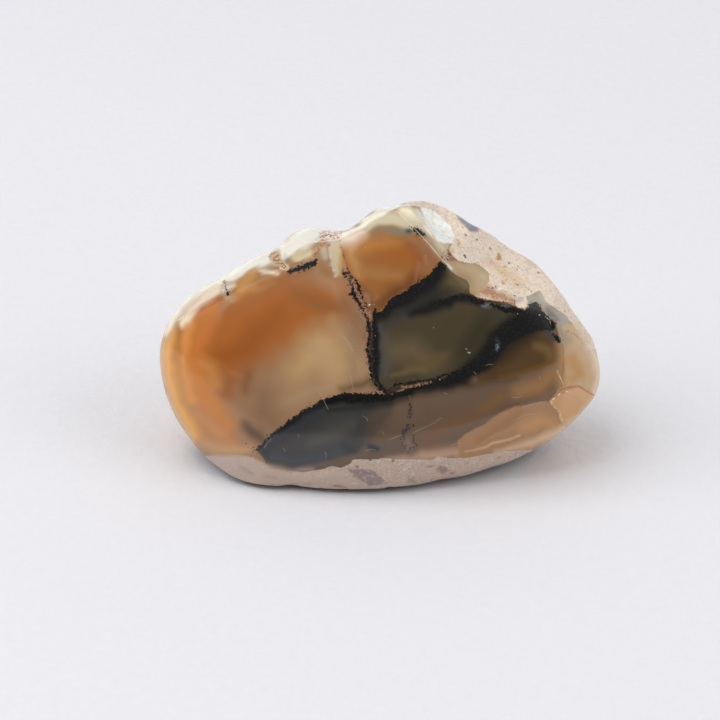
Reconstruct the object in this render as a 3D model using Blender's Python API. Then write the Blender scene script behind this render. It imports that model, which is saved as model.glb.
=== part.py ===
"""Dendritic opal in its sandstone matrix: a polished freeform stone standing on a small flat.

The stone is one solid, because opal and matrix grew together. Its form is written in the frame of its
polished face, in millimetres from the heart of the stone: u to the right, v up the face, w out of it.
The face leans back from upright by LEAN. Along every direction the surface lies at one distance from
the heart: a crowned body inside the outline, ground back by facets, two of which meet in a valley, with
three scalloped chips.
"""

import math

import bmesh
import bpy
import numpy as np
from mathutils import Matrix, Vector

MM = 0.001
LEAN = math.radians(30.0)
HEART_HEIGHT = 14.2
FRONT_DEPTH = 13.0
BACK_DEPTH = 14.0
FULLNESS = 3.4
FULLER_RIGHT = 0.7
FULLER_TOP = 0.9
FULLER_UPRIGHT = 0.3
RIM_BAND = (0.86, 0.97)
RIM_EASING = 3
FACE_EASING = 120
VALLEY_CRISPNESS = 60
DIVISIONS = 5

# The outline of the stone's widest section, as (u, v) points anticlockwise from the right end.
OUTLINE = (
    (32.6, -0.9), (30.1, 1.9), (27.4, 5.4), (24.9, 8.9), (22.4, 12.1), (19.5, 14.6), (16.2, 16.3),
    (12.7, 17.9), (9.5, 20.0), (6.8, 21.0), (4.7, 21.0), (2.7, 20.6), (2.0, 20.0), (-0.3, 20.1),
    (-3.0, 18.0), (-4.8, 16.6), (-6.4, 16.8), (-8.1, 17.1), (-10.1, 17.5), (-11.9, 17.0),
    (-13.5, 16.1), (-14.2, 14.6), (-17.1, 13.7), (-20.2, 11.9), (-23.0, 10.0), (-26.3, 8.6),
    (-28.8, 6.3), (-30.3, 3.6), (-31.3, 0.0), (-31.2, -2.6), (-30.5, -6.0), (-29.2, -9.3),
    (-27.3, -12.2), (-25.0, -15.1), (-22.4, -18.3), (-18.4, -20.6), (-11.9, -20.7), (-5.0, -21.2),
    (2.0, -20.4), (8.5, -18.6), (15.1, -16.8), (21.1, -14.45), (25.4, -11.8), (28.8, -8.5),
    (31.5, -5.0),
)

# Ground facets: a point on each, its outward direction, the radius it is crowned to and how crisp
# its edges are. All in u, v, w.
FACETS = {
    "rim_left": ((-16.4, 12.0, 5.2), (-0.48, 0.81, 0.33), 200.0, 40),
    "crest": ((0.0, 20.0, 6.0), (-0.20, 0.95, 0.22), 80.0, 60),
    "shoulder_right": ((24.0, 2.0, 11.2), (0.79, 0.35, 0.50), 90.0, 60),
    "end_right": ((25.4, -3.2, 11.0), (0.84, -0.05, 0.54), 150.0, 70),
    "low_right": ((16.9, -9.4, 11.5), (0.26, -0.59, 0.77), 150.0, 90),
    "under_front": ((-4.0, -19.76, 6.9), (0.005, -0.91, -0.415), 245.0, 110),
    "under_right": ((12.4, -17.6, 4.0), (0.085, -0.94, -0.34), 235.0, 110),
    "under_left": ((-17.0, -18.58, 3.6), (-0.265, -0.88, -0.395), 120.0, 110),
    "under_back": ((-3.0, -8.0, -12.6), (0.0, -0.58, -0.82), 80.0, 30),
    "back_high": ((2.0, 9.0, -10.8), (0.12, 0.50, -0.86), 70.0, 30),
    "back_right": ((21.0, -1.0, -10.0), (0.60, -0.10, -0.80), 60.0, 30),
    "back_left": ((-20.0, 2.0, -9.0), (-0.52, 0.12, -0.84), 60.0, 24),
}

# Two ground facets that meet in a valley at the top right: a point, the outward direction and the crown's
# radius of each. Only what stands out of both is ground away.
VALLEY = {
    "crest_bevel": ((6.8, 14.5, 12.3), (0.60, 0.56, 0.57), 150.0),
    "top_bevel": ((17.0, 6.6, 12.4), (0.32, 0.78, 0.53), 150.0),
}

# Scalloped chips, each the near side of a ball outside the stone: its centre and radius.
CHIPS = {
    "crest_chip": ((12.3, 23.9, 9.2), 9.0),
    "flake_scar": ((34.8, -12.4, 15.0), 12.0),
    "base_chip": ((-12.8, -21.7, 7.2), 3.0),
}


def unit(vector):
    vector = np.asarray(vector, dtype=float)
    return vector / np.linalg.norm(vector)


def smooth_rise(value, low, high):
    step = np.clip((value - low) / (high - low), 0.0, 1.0)
    return step * step * (3.0 - 2.0 * step)


def outline_radius(angle, easing):
    """The outline's distance from the heart at each angle: its points joined, then eased so many times."""
    points = np.array(OUTLINE)
    at = np.arctan2(points[:, 1], points[:, 0])
    order = np.argsort(at)
    degrees = np.arange(360)
    radius = np.interp(np.radians(degrees - 180.0), at[order], np.hypot(*points[order].T), period=math.tau)
    for _ in range(easing):
        radius = 0.25 * np.roll(radius, 1) + 0.5 * radius + 0.25 * np.roll(radius, -1)
    return np.interp(np.degrees(angle) + 180.0, degrees, radius, period=360.0)


def body_closeness(way):
    """One over the distance to the crowned body: a superellipse in depth, fuller to the top and the right."""
    across = np.hypot(way[:, 0], way[:, 1])
    angle = np.arctan2(way[:, 1], way[:, 0])
    depth = np.where(way[:, 2] > 0.0, FRONT_DEPTH, BACK_DEPTH)
    fullness = FULLNESS + FULLER_RIGHT * np.cos(angle) + FULLER_TOP * np.sin(angle)
    fullness -= FULLER_UPRIGHT * np.cos(2.0 * angle)
    rim = smooth_rise(across, *RIM_BAND)
    outline = rim * outline_radius(angle, RIM_EASING) + (1.0 - rim) * outline_radius(angle, FACE_EASING)
    flat = across / outline
    return (flat**fullness + np.abs(way[:, 2] / depth) ** fullness) ** (1.0 / fullness)


def ball_exit(way, centre, radius):
    """Where a ray from inside a ball leaves it."""
    along = way @ centre
    return along + np.sqrt(along**2 + radius**2 - centre @ centre)


def ball_entry(way, centre, radius):
    """Where a ray from outside a ball meets it, or infinitely far off."""
    along = way @ centre
    reach = along**2 + radius**2 - centre @ centre
    met = (reach > 0.0) & (along > 0.0)
    return np.where(met, along - np.sqrt(np.maximum(reach, 0.0)), np.inf)


def facet_closeness(way, point, outward, crown):
    """One over the distance to a facet, which is the far side of a ball of the crown's radius."""
    return 1.0 / ball_exit(way, np.array(point) - crown * unit(outward), crown)


def nearer(closeness, other, crisp):
    """The nearer of two surfaces, with the edge between them eased."""
    return (closeness**crisp + other**crisp) ** (1.0 / crisp)


def stone_radius(way):
    """Distance from the heart to the surface along each unit direction in u, v, w."""
    closeness = body_closeness(way)
    for point, outward, crown, crisp in FACETS.values():
        closeness = nearer(closeness, facet_closeness(way, point, outward, crown), crisp)
    one_side, other_side = [facet_closeness(way, *facet) for facet in VALLEY.values()]
    closeness = nearer(closeness, np.minimum(one_side, other_side), VALLEY_CRISPNESS)
    radius = 1.0 / closeness
    for centre, size in CHIPS.values():
        radius = np.minimum(radius, ball_entry(way, np.array(centre), size))
    return radius


def face_to_world():
    """Turns u, v, w into world axes, with the face towards -Y and leaning back."""
    u_axis = Vector((1.0, 0.0, 0.0))
    v_axis = Vector((0.0, math.sin(LEAN), math.cos(LEAN)))
    w_axis = Vector((0.0, -math.cos(LEAN), math.sin(LEAN)))
    return Matrix((u_axis, v_axis, w_axis)).transposed().to_4x4()


def stone_mesh():
    """A ball whose points are moved out to the stone's surface, stood up and cut flat below."""
    bm = bmesh.new()
    bmesh.ops.create_icosphere(bm, subdivisions=DIVISIONS, radius=1.0)
    way = np.array([vertex.co.normalized() for vertex in bm.verts])
    reach = stone_radius(way)
    for vertex, direction, distance in zip(bm.verts, way, reach):
        vertex.co = Vector(direction) * distance * MM
    bmesh.ops.transform(bm, matrix=face_to_world(), verts=bm.verts)
    floor = Vector((0.0, 0.0, -HEART_HEIGHT * MM))
    cut = bmesh.ops.bisect_plane(
        bm,
        geom=bm.verts[:] + bm.edges[:] + bm.faces[:],
        dist=0.00001,
        plane_co=floor,
        plane_no=(0.0, 0.0, 1.0),
        clear_inner=True,
    )
    rim = [item for item in cut["geom_cut"] if isinstance(item, bmesh.types.BMEdge)]
    base = bmesh.ops.contextual_create(bm, geom=rim)["faces"]
    xs = [vertex.co.x for vertex in bm.verts]
    ys = [vertex.co.y for vertex in bm.verts]
    middle = Vector(((min(xs) + max(xs)) / 2.0, (min(ys) + max(ys)) / 2.0, floor.z))
    bmesh.ops.translate(bm, vec=-middle, verts=bm.verts)
    for face in base:
        face.normal_update()
        if face.normal.z > 0.0:
            face.normal_flip()
    mesh = bpy.data.meshes.new("dendritic_opal")
    bm.to_mesh(mesh)
    bm.free()
    mesh.shade_smooth()
    mesh.set_sharp_from_angle(angle=math.radians(28.0))
    return mesh


def opal_material():
    material = bpy.data.materials.new("polished_opal")
    material.use_nodes = True
    shader = material.node_tree.nodes["Principled BSDF"]
    shader.inputs["Base Color"].default_value = (0.40, 0.21, 0.09, 1.0)
    shader.inputs["Roughness"].default_value = 0.12
    shader.inputs["Metallic"].default_value = 0.0
    shader.inputs["IOR"].default_value = 1.45
    return material


def main():
    for item in list(bpy.data.objects):
        bpy.data.objects.remove(item, do_unlink=True)
    collection = bpy.data.collections.new("dendritic_opal")
    bpy.context.scene.collection.children.link(collection)
    stone = bpy.data.objects.new("dendritic_opal", stone_mesh())
    stone.data.materials.append(opal_material())
    collection.objects.link(stone)


main()
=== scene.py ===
"""Looks of the dendritic opal: one polished stone of amber, olive and cream opal, crossed by black mossy
dendrites and sandy veins, with the sandstone it grew in along its top right, its foot and its back.

The stone's form is written as its solid is, in the frame of its polished face, in millimetres from the
heart of the stone: u to the right, v up the face, w out of it. Its markings are drawn where they show in
the photograph, in the pixels of its 720-pixel frame, and laid on the surface from the camera's place.
"""

import math

import bpy
import numpy as np
from mathutils import Matrix, Vector


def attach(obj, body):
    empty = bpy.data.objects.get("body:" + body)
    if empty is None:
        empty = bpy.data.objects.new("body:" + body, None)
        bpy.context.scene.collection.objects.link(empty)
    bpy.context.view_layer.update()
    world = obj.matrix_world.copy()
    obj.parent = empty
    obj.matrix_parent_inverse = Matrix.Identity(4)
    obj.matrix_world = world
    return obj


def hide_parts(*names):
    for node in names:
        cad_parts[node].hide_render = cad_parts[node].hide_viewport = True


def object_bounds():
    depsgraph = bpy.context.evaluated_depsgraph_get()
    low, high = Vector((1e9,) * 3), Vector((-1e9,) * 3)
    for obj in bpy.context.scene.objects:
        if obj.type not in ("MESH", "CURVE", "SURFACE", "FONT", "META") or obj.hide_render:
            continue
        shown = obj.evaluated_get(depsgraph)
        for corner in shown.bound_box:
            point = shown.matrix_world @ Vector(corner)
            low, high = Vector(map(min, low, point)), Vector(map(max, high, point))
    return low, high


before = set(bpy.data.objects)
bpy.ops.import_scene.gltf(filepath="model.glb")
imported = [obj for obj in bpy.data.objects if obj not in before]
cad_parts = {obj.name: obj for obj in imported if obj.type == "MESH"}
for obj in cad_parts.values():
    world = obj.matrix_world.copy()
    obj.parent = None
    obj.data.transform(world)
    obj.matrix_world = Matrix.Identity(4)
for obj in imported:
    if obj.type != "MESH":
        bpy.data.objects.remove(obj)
solid_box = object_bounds()

MM = 0.001
LEAN = math.radians(30.0)
HEART_HEIGHT = 14.2

# The face's u, v and w axes in world axes.
FACE_AXES = np.array(
    (
        (1.0, 0.0, 0.0),
        (0.0, math.sin(LEAN), math.cos(LEAN)),
        (0.0, -math.cos(LEAN), math.sin(LEAN)),
    )
)

# The photograph: its frame, the pixel of the stone's heart, the scale there and the camera's distance.
FRAME_PIXELS = 720.0
HEART_PIXEL = (380.0, 350.0)
MM_PER_PIXEL = 0.142
CAMERA_DISTANCE = 450.0
SENSOR = 36.0
VIEW_AXIS = (
    (FRAME_PIXELS / 2.0 - HEART_PIXEL[0]) * MM_PER_PIXEL,
    (HEART_PIXEL[1] - FRAME_PIXELS / 2.0) * MM_PER_PIXEL,
)

# Form of the stone.
FRONT_DEPTH = 13.0
BACK_DEPTH = 14.0
FULLNESS = 3.4
FULLER_RIGHT = 0.7
FULLER_TOP = 0.9
FULLER_UPRIGHT = 0.3
RIM_BAND = (0.86, 0.97)
RIM_EASING = 3
FACE_EASING = 120
FINER_EDGES = 2.2
VALLEY_CRISPNESS = 140.0
CHIP_CRISPNESS = 110.0
BASE_CRISPNESS = 260.0

# The outline of the stone's widest section, as (u, v) points anticlockwise from the right end.
OUTLINE = (
    (32.6, -0.9), (30.1, 1.9), (27.4, 5.4), (24.9, 8.9), (22.4, 12.1), (19.5, 14.6), (16.2, 16.3),
    (12.7, 17.9), (9.5, 20.0), (6.8, 21.0), (4.7, 21.0), (2.7, 20.6), (2.0, 20.0), (-0.3, 20.1),
    (-3.0, 18.0), (-4.8, 16.6), (-6.4, 16.8), (-8.1, 17.1), (-10.1, 17.5), (-11.9, 17.0),
    (-13.5, 16.1), (-14.2, 14.6), (-17.1, 13.7), (-20.2, 11.9), (-23.0, 10.0), (-26.3, 8.6),
    (-28.8, 6.3), (-30.3, 3.6), (-31.3, 0.0), (-31.2, -2.6), (-30.5, -6.0), (-29.2, -9.3),
    (-27.3, -12.2), (-25.0, -15.1), (-22.4, -18.3), (-18.4, -20.6), (-11.9, -20.7), (-5.0, -21.2),
    (2.0, -20.4), (8.5, -18.6), (15.1, -16.8), (21.1, -14.45), (25.4, -11.8), (28.8, -8.5),
    (31.5, -5.0),
)

# Ground facets: a point on each, its outward direction, the radius it is crowned to and how crisp
# its edges are. All in u, v, w.
FACETS = {
    "rim_left": ((-16.4, 12.0, 5.2), (-0.48, 0.81, 0.33), 200.0, 40),
    "crest": ((0.0, 20.0, 6.0), (-0.20, 0.95, 0.22), 80.0, 60),
    "shoulder_right": ((24.0, 2.0, 11.2), (0.79, 0.35, 0.50), 90.0, 60),
    "end_right": ((25.4, -3.2, 11.0), (0.84, -0.05, 0.54), 150.0, 70),
    "low_right": ((16.9, -9.4, 11.5), (0.26, -0.59, 0.77), 150.0, 90),
    "under_front": ((-4.0, -19.76, 6.9), (0.005, -0.91, -0.415), 245.0, 110),
    "under_right": ((12.4, -17.6, 4.0), (0.085, -0.94, -0.34), 235.0, 110),
    "under_left": ((-17.0, -18.58, 3.6), (-0.265, -0.88, -0.395), 120.0, 110),
    "under_back": ((-3.0, -8.0, -12.6), (0.0, -0.58, -0.82), 80.0, 30),
    "back_high": ((2.0, 9.0, -10.8), (0.12, 0.50, -0.86), 70.0, 30),
    "back_right": ((21.0, -1.0, -10.0), (0.60, -0.10, -0.80), 60.0, 30),
    "back_left": ((-20.0, 2.0, -9.0), (-0.52, 0.12, -0.84), 60.0, 24),
}

# Two ground facets that meet in a valley at the top right: a point, the outward direction and the crown's
# radius of each. Only what stands out of both is ground away.
VALLEY = {
    "crest_bevel": ((6.8, 14.5, 12.3), (0.60, 0.56, 0.57), 150.0),
    "top_bevel": ((17.0, 6.6, 12.4), (0.32, 0.78, 0.53), 150.0),
}

# Scalloped chips, each the near side of a ball outside the stone: its centre and radius.
CHIPS = {
    "crest_chip": ((12.3, 23.9, 9.2), 9.0),
    "flake_scar": ((34.8, -12.4, 15.0), 12.0),
    "base_chip": ((-12.8, -21.7, 7.2), 3.0),
}

# The surface's grid: cells along each side of the folded square, how far it favours the face, and the
# half sizes of the ellipsoid that spaces its points.
GRID_CELLS = 312
FACE_FAVOUR = 1.35
GRID_SPREAD = (31.0, 20.0, 13.0)

# How much lighter than in the photograph the tints are, for the light that the face gets.
TINT_LIFT = 1.05

# Where the face's markings give way to those of the back, in millimetres behind the heart.
BACK_STARTS = 1.5
BACK_FULL = 5.0

# Shapes drawn on the photograph. Points of (x, y, half width) are a stroke, points of (x, y) a closed
# region. All in pixels. The moss is the crisp black growth: strands, knots and the cores of the bands.
MOSS = {
    "wave_rim": (
        (257, 450, 1), (263, 444, 1.4), (269, 437, 1.6), (277, 431.5, 1.8), (285, 426.5, 1.9),
        (292, 420.5, 2), (300, 415, 2.1), (308, 410, 2.2), (316, 406, 2.4), (323, 402.5, 2.8),
        (331, 400, 3.2),
    ),
    "wave_core": (
        (331, 399.5, 2.6), (340, 397.5, 2.8), (350, 396, 3), (362, 396.2, 3.2), (374, 397, 3),
        (385, 396.6, 2.6), (397, 394.8, 2.4), (408, 392, 2.4),
    ),
    "wave_middle": (
        (411, 388.2, 1.4), (420, 387, 1.5), (430, 384.6, 1.8), (441, 380.9, 2), (452, 377, 2.2),
        (461, 372.6, 2.6), (468, 368, 3), (476, 363.4, 3.4), (484, 358.5, 3.6), (490.5, 351, 3.4),
        (493.5, 343, 3), (499, 336, 3.4), (508, 330, 4.4), (517, 323, 6.4),
    ),
    "wave_upper_strand": (
        (391, 388, 0.9), (397, 385, 1.1), (404, 383.5, 1.3), (412, 382.5, 1), (420, 381, 1.2),
        (428, 380, 1), (436, 378, 0.8), (444, 375, 1.1), (452, 373.5, 1), (459, 370.5, 1.3),
    ),
    "blotch": (
        (494, 340), (499, 333), (504, 329), (508, 326), (513, 319), (515, 313), (519, 309.5), (524, 312),
        (528, 308), (530, 304), (535, 301.5), (539, 305), (542, 310), (546, 315.5), (551, 318.5),
        (555.5, 323), (555, 328.5), (550, 331), (545, 329.5), (538, 330), (532, 328.5), (526, 330.5),
        (519, 332), (512, 336), (505, 341), (499, 347), (496, 356), (489, 362), (486, 354),
    ),
    "blotch_tip": ((553, 334.5, 1.6), (556.5, 338, 2.4), (559.5, 341.5, 1.2)),
    "upper_band": (
        (374.9, 309.4, 1.1), (375.9, 314.9, 1.6), (382.9, 313.7, 2), (388.1, 306.5, 2.4),
        (392.9, 300.9, 2.6), (401.4, 295.9, 2.8), (408.9, 291.3, 3), (415.9, 286.7, 3), (424.4, 282.1, 3),
        (431.4, 275.9, 2.8), (436.9, 269.9, 2.6), (440.7, 264.9, 2.4), (444.4, 268.4, 2.2),
    ),
    "inner_arc": (
        (431, 304.5, 1.4), (440, 302, 2), (448, 299.8, 2.4), (455, 298, 2.2), (461, 296.8, 1.8),
        (467, 295.6, 1.5), (472, 299.3, 1.9), (480, 302, 2.2), (484, 302.6, 1.2),
    ),
    "inner_arc_end": (
        (492, 304, 1.4), (496, 306, 2), (501, 309, 2.4), (508, 311, 2.6), (514, 310, 3.2), (520, 313, 4),
    ),
    "near_strand": (
        (367.6, 321, 1.3), (368, 328, 1.6), (368, 340, 1.5), (367.4, 348, 1.7), (368.4, 356, 1.5),
        (369.8, 363, 1.4), (371, 372, 1.5), (372.8, 380, 1.4), (376.5, 386, 1.1), (381, 391, 1),
        (386, 394, 0.9),
    ),
    "far_strand": (
        (374, 312, 1.3), (374, 322, 1.8), (374.2, 332, 2.3), (374.7, 341, 2.6), (375.3, 350, 2.8),
        (375.4, 360, 2.6), (375, 368, 2.2), (375.6, 374, 1.8), (378.2, 382, 1.4), (382, 388, 1.1),
        (386, 391, 0.9),
    ),
    "vein_knot": ((342.5, 272.5, 1.1), (345, 275.5, 1.6), (348.5, 272.5, 1.2)),
    "upper_vein_left": (
        (347.5, 279, 0.9), (350.5, 285, 1.2), (353, 290, 1.2), (354.5, 295, 2), (357.5, 301, 1.7),
        (360.5, 306, 1.6), (364, 313, 0.9), (367.5, 320, 1.1),
    ),
    "upper_vein_side": ((350, 295.5, 1.3), (355, 295, 1.7)),
    "upper_vein_right": (
        (350.5, 274, 0.8), (354.5, 281, 1), (357.5, 286, 1.6), (360.5, 292, 1.1), (362.5, 297, 0.9),
        (366.5, 305, 0.6), (370.5, 316, 0.6),
    ),
    "dash": (
        (288.5, 272.1, 1.6), (293.5, 270.5, 1.7), (299.5, 268.6, 2.2), (304.5, 267, 2.5),
        (309.5, 265.1, 3.2), (313.5, 263.3, 2.7), (316.5, 259.8, 1.4),
    ),
    "rim_dot": ((228, 294, 1.6), (228.2, 292, 1.3)),
    "rim_dot_thread": ((227, 291, 0.7), (225.5, 286, 0.4), (224.5, 281, 0.4)),
    "crest_dash": ((412, 228.6, 1), (415.5, 230, 2.2), (419.5, 232.6, 2.6), (422.5, 235, 1.6)),
}

# Where only scattered grains of moss grow.
SPRINKLES = {
    "dash_grains": (
        (289, 271.5, 2), (296, 269.2, 3.4), (302, 267.4, 3.8), (309, 264.8, 4), (313.5, 261.5, 2.6),
    ),
    "arc_grains": ((462, 295, 2), (474, 297, 3), (486, 299, 2.4), (500, 300, 2.4), (514, 303, 2.6)),
    "lower_grains": ((402, 436, 2), (404, 445, 2), (409, 452, 2.2), (415, 447, 2), (414, 436, 1.6)),
    "lower_knots": ((408, 426, 1.8), (404.5, 431, 2.2), (403, 436, 1.2)),
    "lower_knot_side": ((414, 423, 1), (412, 428, 0.8)),
    "thread_grains": ((410, 402, 0.8), (410, 410, 2), (409.5, 417, 1.6)),
    "left_of_lens": ((244, 444, 1.4), (251, 448, 2), (257, 453, 1.6)),
    "pocket_grains": ((268, 257, 1), (271, 256, 1), (286, 268, 1.6)),
    "knot_grains": ((341, 269, 0.6), (345, 273, 3), (350, 278, 1)),
    "vein_side_grains": ((352, 296, 1.6), (358, 303, 1.6), (364, 314, 1)),
    "shoulder_grains": ((566, 332, 1.6), (569, 331, 1.2)),
}

# The pinkish and ochre sand that fills the veins and pockets.
SAND = {
    "upper_vein": (
        (340.9, 243, 0.6), (342.4, 252, 0.9), (344.4, 259, 0.9), (346.4, 265, 1.1), (347.4, 271, 1.6),
        (349.9, 277, 1.7), (353.4, 285, 1.4), (358.4, 294, 1.6), (362.4, 302, 1.6), (367.4, 312, 1.5),
        (370.4, 319, 0.9),
    ),
    "middle_vein": (
        (370, 320, 0.8), (371, 332, 0.8), (371, 348, 0.8), (372, 360, 1.1), (373, 372, 1.6),
        (376.5, 380, 1.9), (382, 388, 2.4), (389, 392, 2.6), (397, 389, 2.4),
    ),
    "above_wave": (
        (397, 389, 2.2), (406, 386, 2.4), (416, 384.3, 2.4), (426, 382.3, 2), (436, 379.8, 1.4),
        (446, 376.4, 1.1), (455, 373, 0.7),
    ),
    "left_pocket": ((268, 255), (276, 251), (280, 253), (283, 262), (289, 270), (281, 268), (272, 262)),
    "right_pocket": ((312, 256), (315, 249), (321, 243), (326, 243), (319, 252), (316, 257)),
    "saddle": ((318, 233), (326, 230), (333, 229), (342, 232), (341, 238), (334, 240), (320, 241)),
    "chip_foot": ((444, 249), (451, 249), (459, 260), (449, 261), (440, 259)),
    "lower_vein": ((409.5, 394, 0.5), (410.3, 402, 0.5), (410, 410, 0.4)),
    "arc_foot": ((462, 297, 0.8), (472, 299, 1.2), (484, 301, 1.4), (498, 302, 1.4), (514, 306, 1.4)),
    "shoulder": ((512, 303, 1.6), (519, 308, 2), (525, 308, 1.8)),
}

# Where the sandstone shows, all the way past the outline.
SANDSTONE = {
    "top_right": (
        (397, 203), (404, 206), (414, 206), (424, 207.5), (434, 211), (443, 217.5), (450, 226),
        (455, 234), (453, 243), (449, 249), (453, 256), (459, 261), (466, 262.5), (472, 263.2),
        (476, 263), (481, 266), (489, 272.5), (489.5, 281), (484, 287), (479, 292), (472, 294.5),
        (481, 298), (490, 300), (500, 301), (510, 302), (515, 305), (520, 308), (526, 308.5), (528, 303),
        (526, 296), (531, 295), (536, 292), (539.5, 290), (542, 294), (545, 300), (549, 304),
        (556, 308.5), (561, 312), (567, 316), (569, 320), (573, 324), (578, 333), (584, 341), (592, 349),
        (640, 350), (600, 260), (520, 200), (440, 180), (395, 190),
    ),
    "foot": (
        (185, 455), (206, 456), (226, 455), (240, 455.5), (253, 457.5), (263, 463), (272, 468),
        (288, 471.5), (305, 472), (322, 469.5), (332, 466), (341, 468), (350, 464), (353, 459.5),
        (366, 459.5), (378, 459.5), (381, 458), (400, 459.5), (420, 459.5), (433, 460), (438, 456.5),
        (450, 458.5), (466, 458), (483, 455), (500, 452), (518, 450.5), (535, 450), (546, 446),
        (580, 470), (480, 520), (300, 520), (200, 500),
    ),
}

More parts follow.
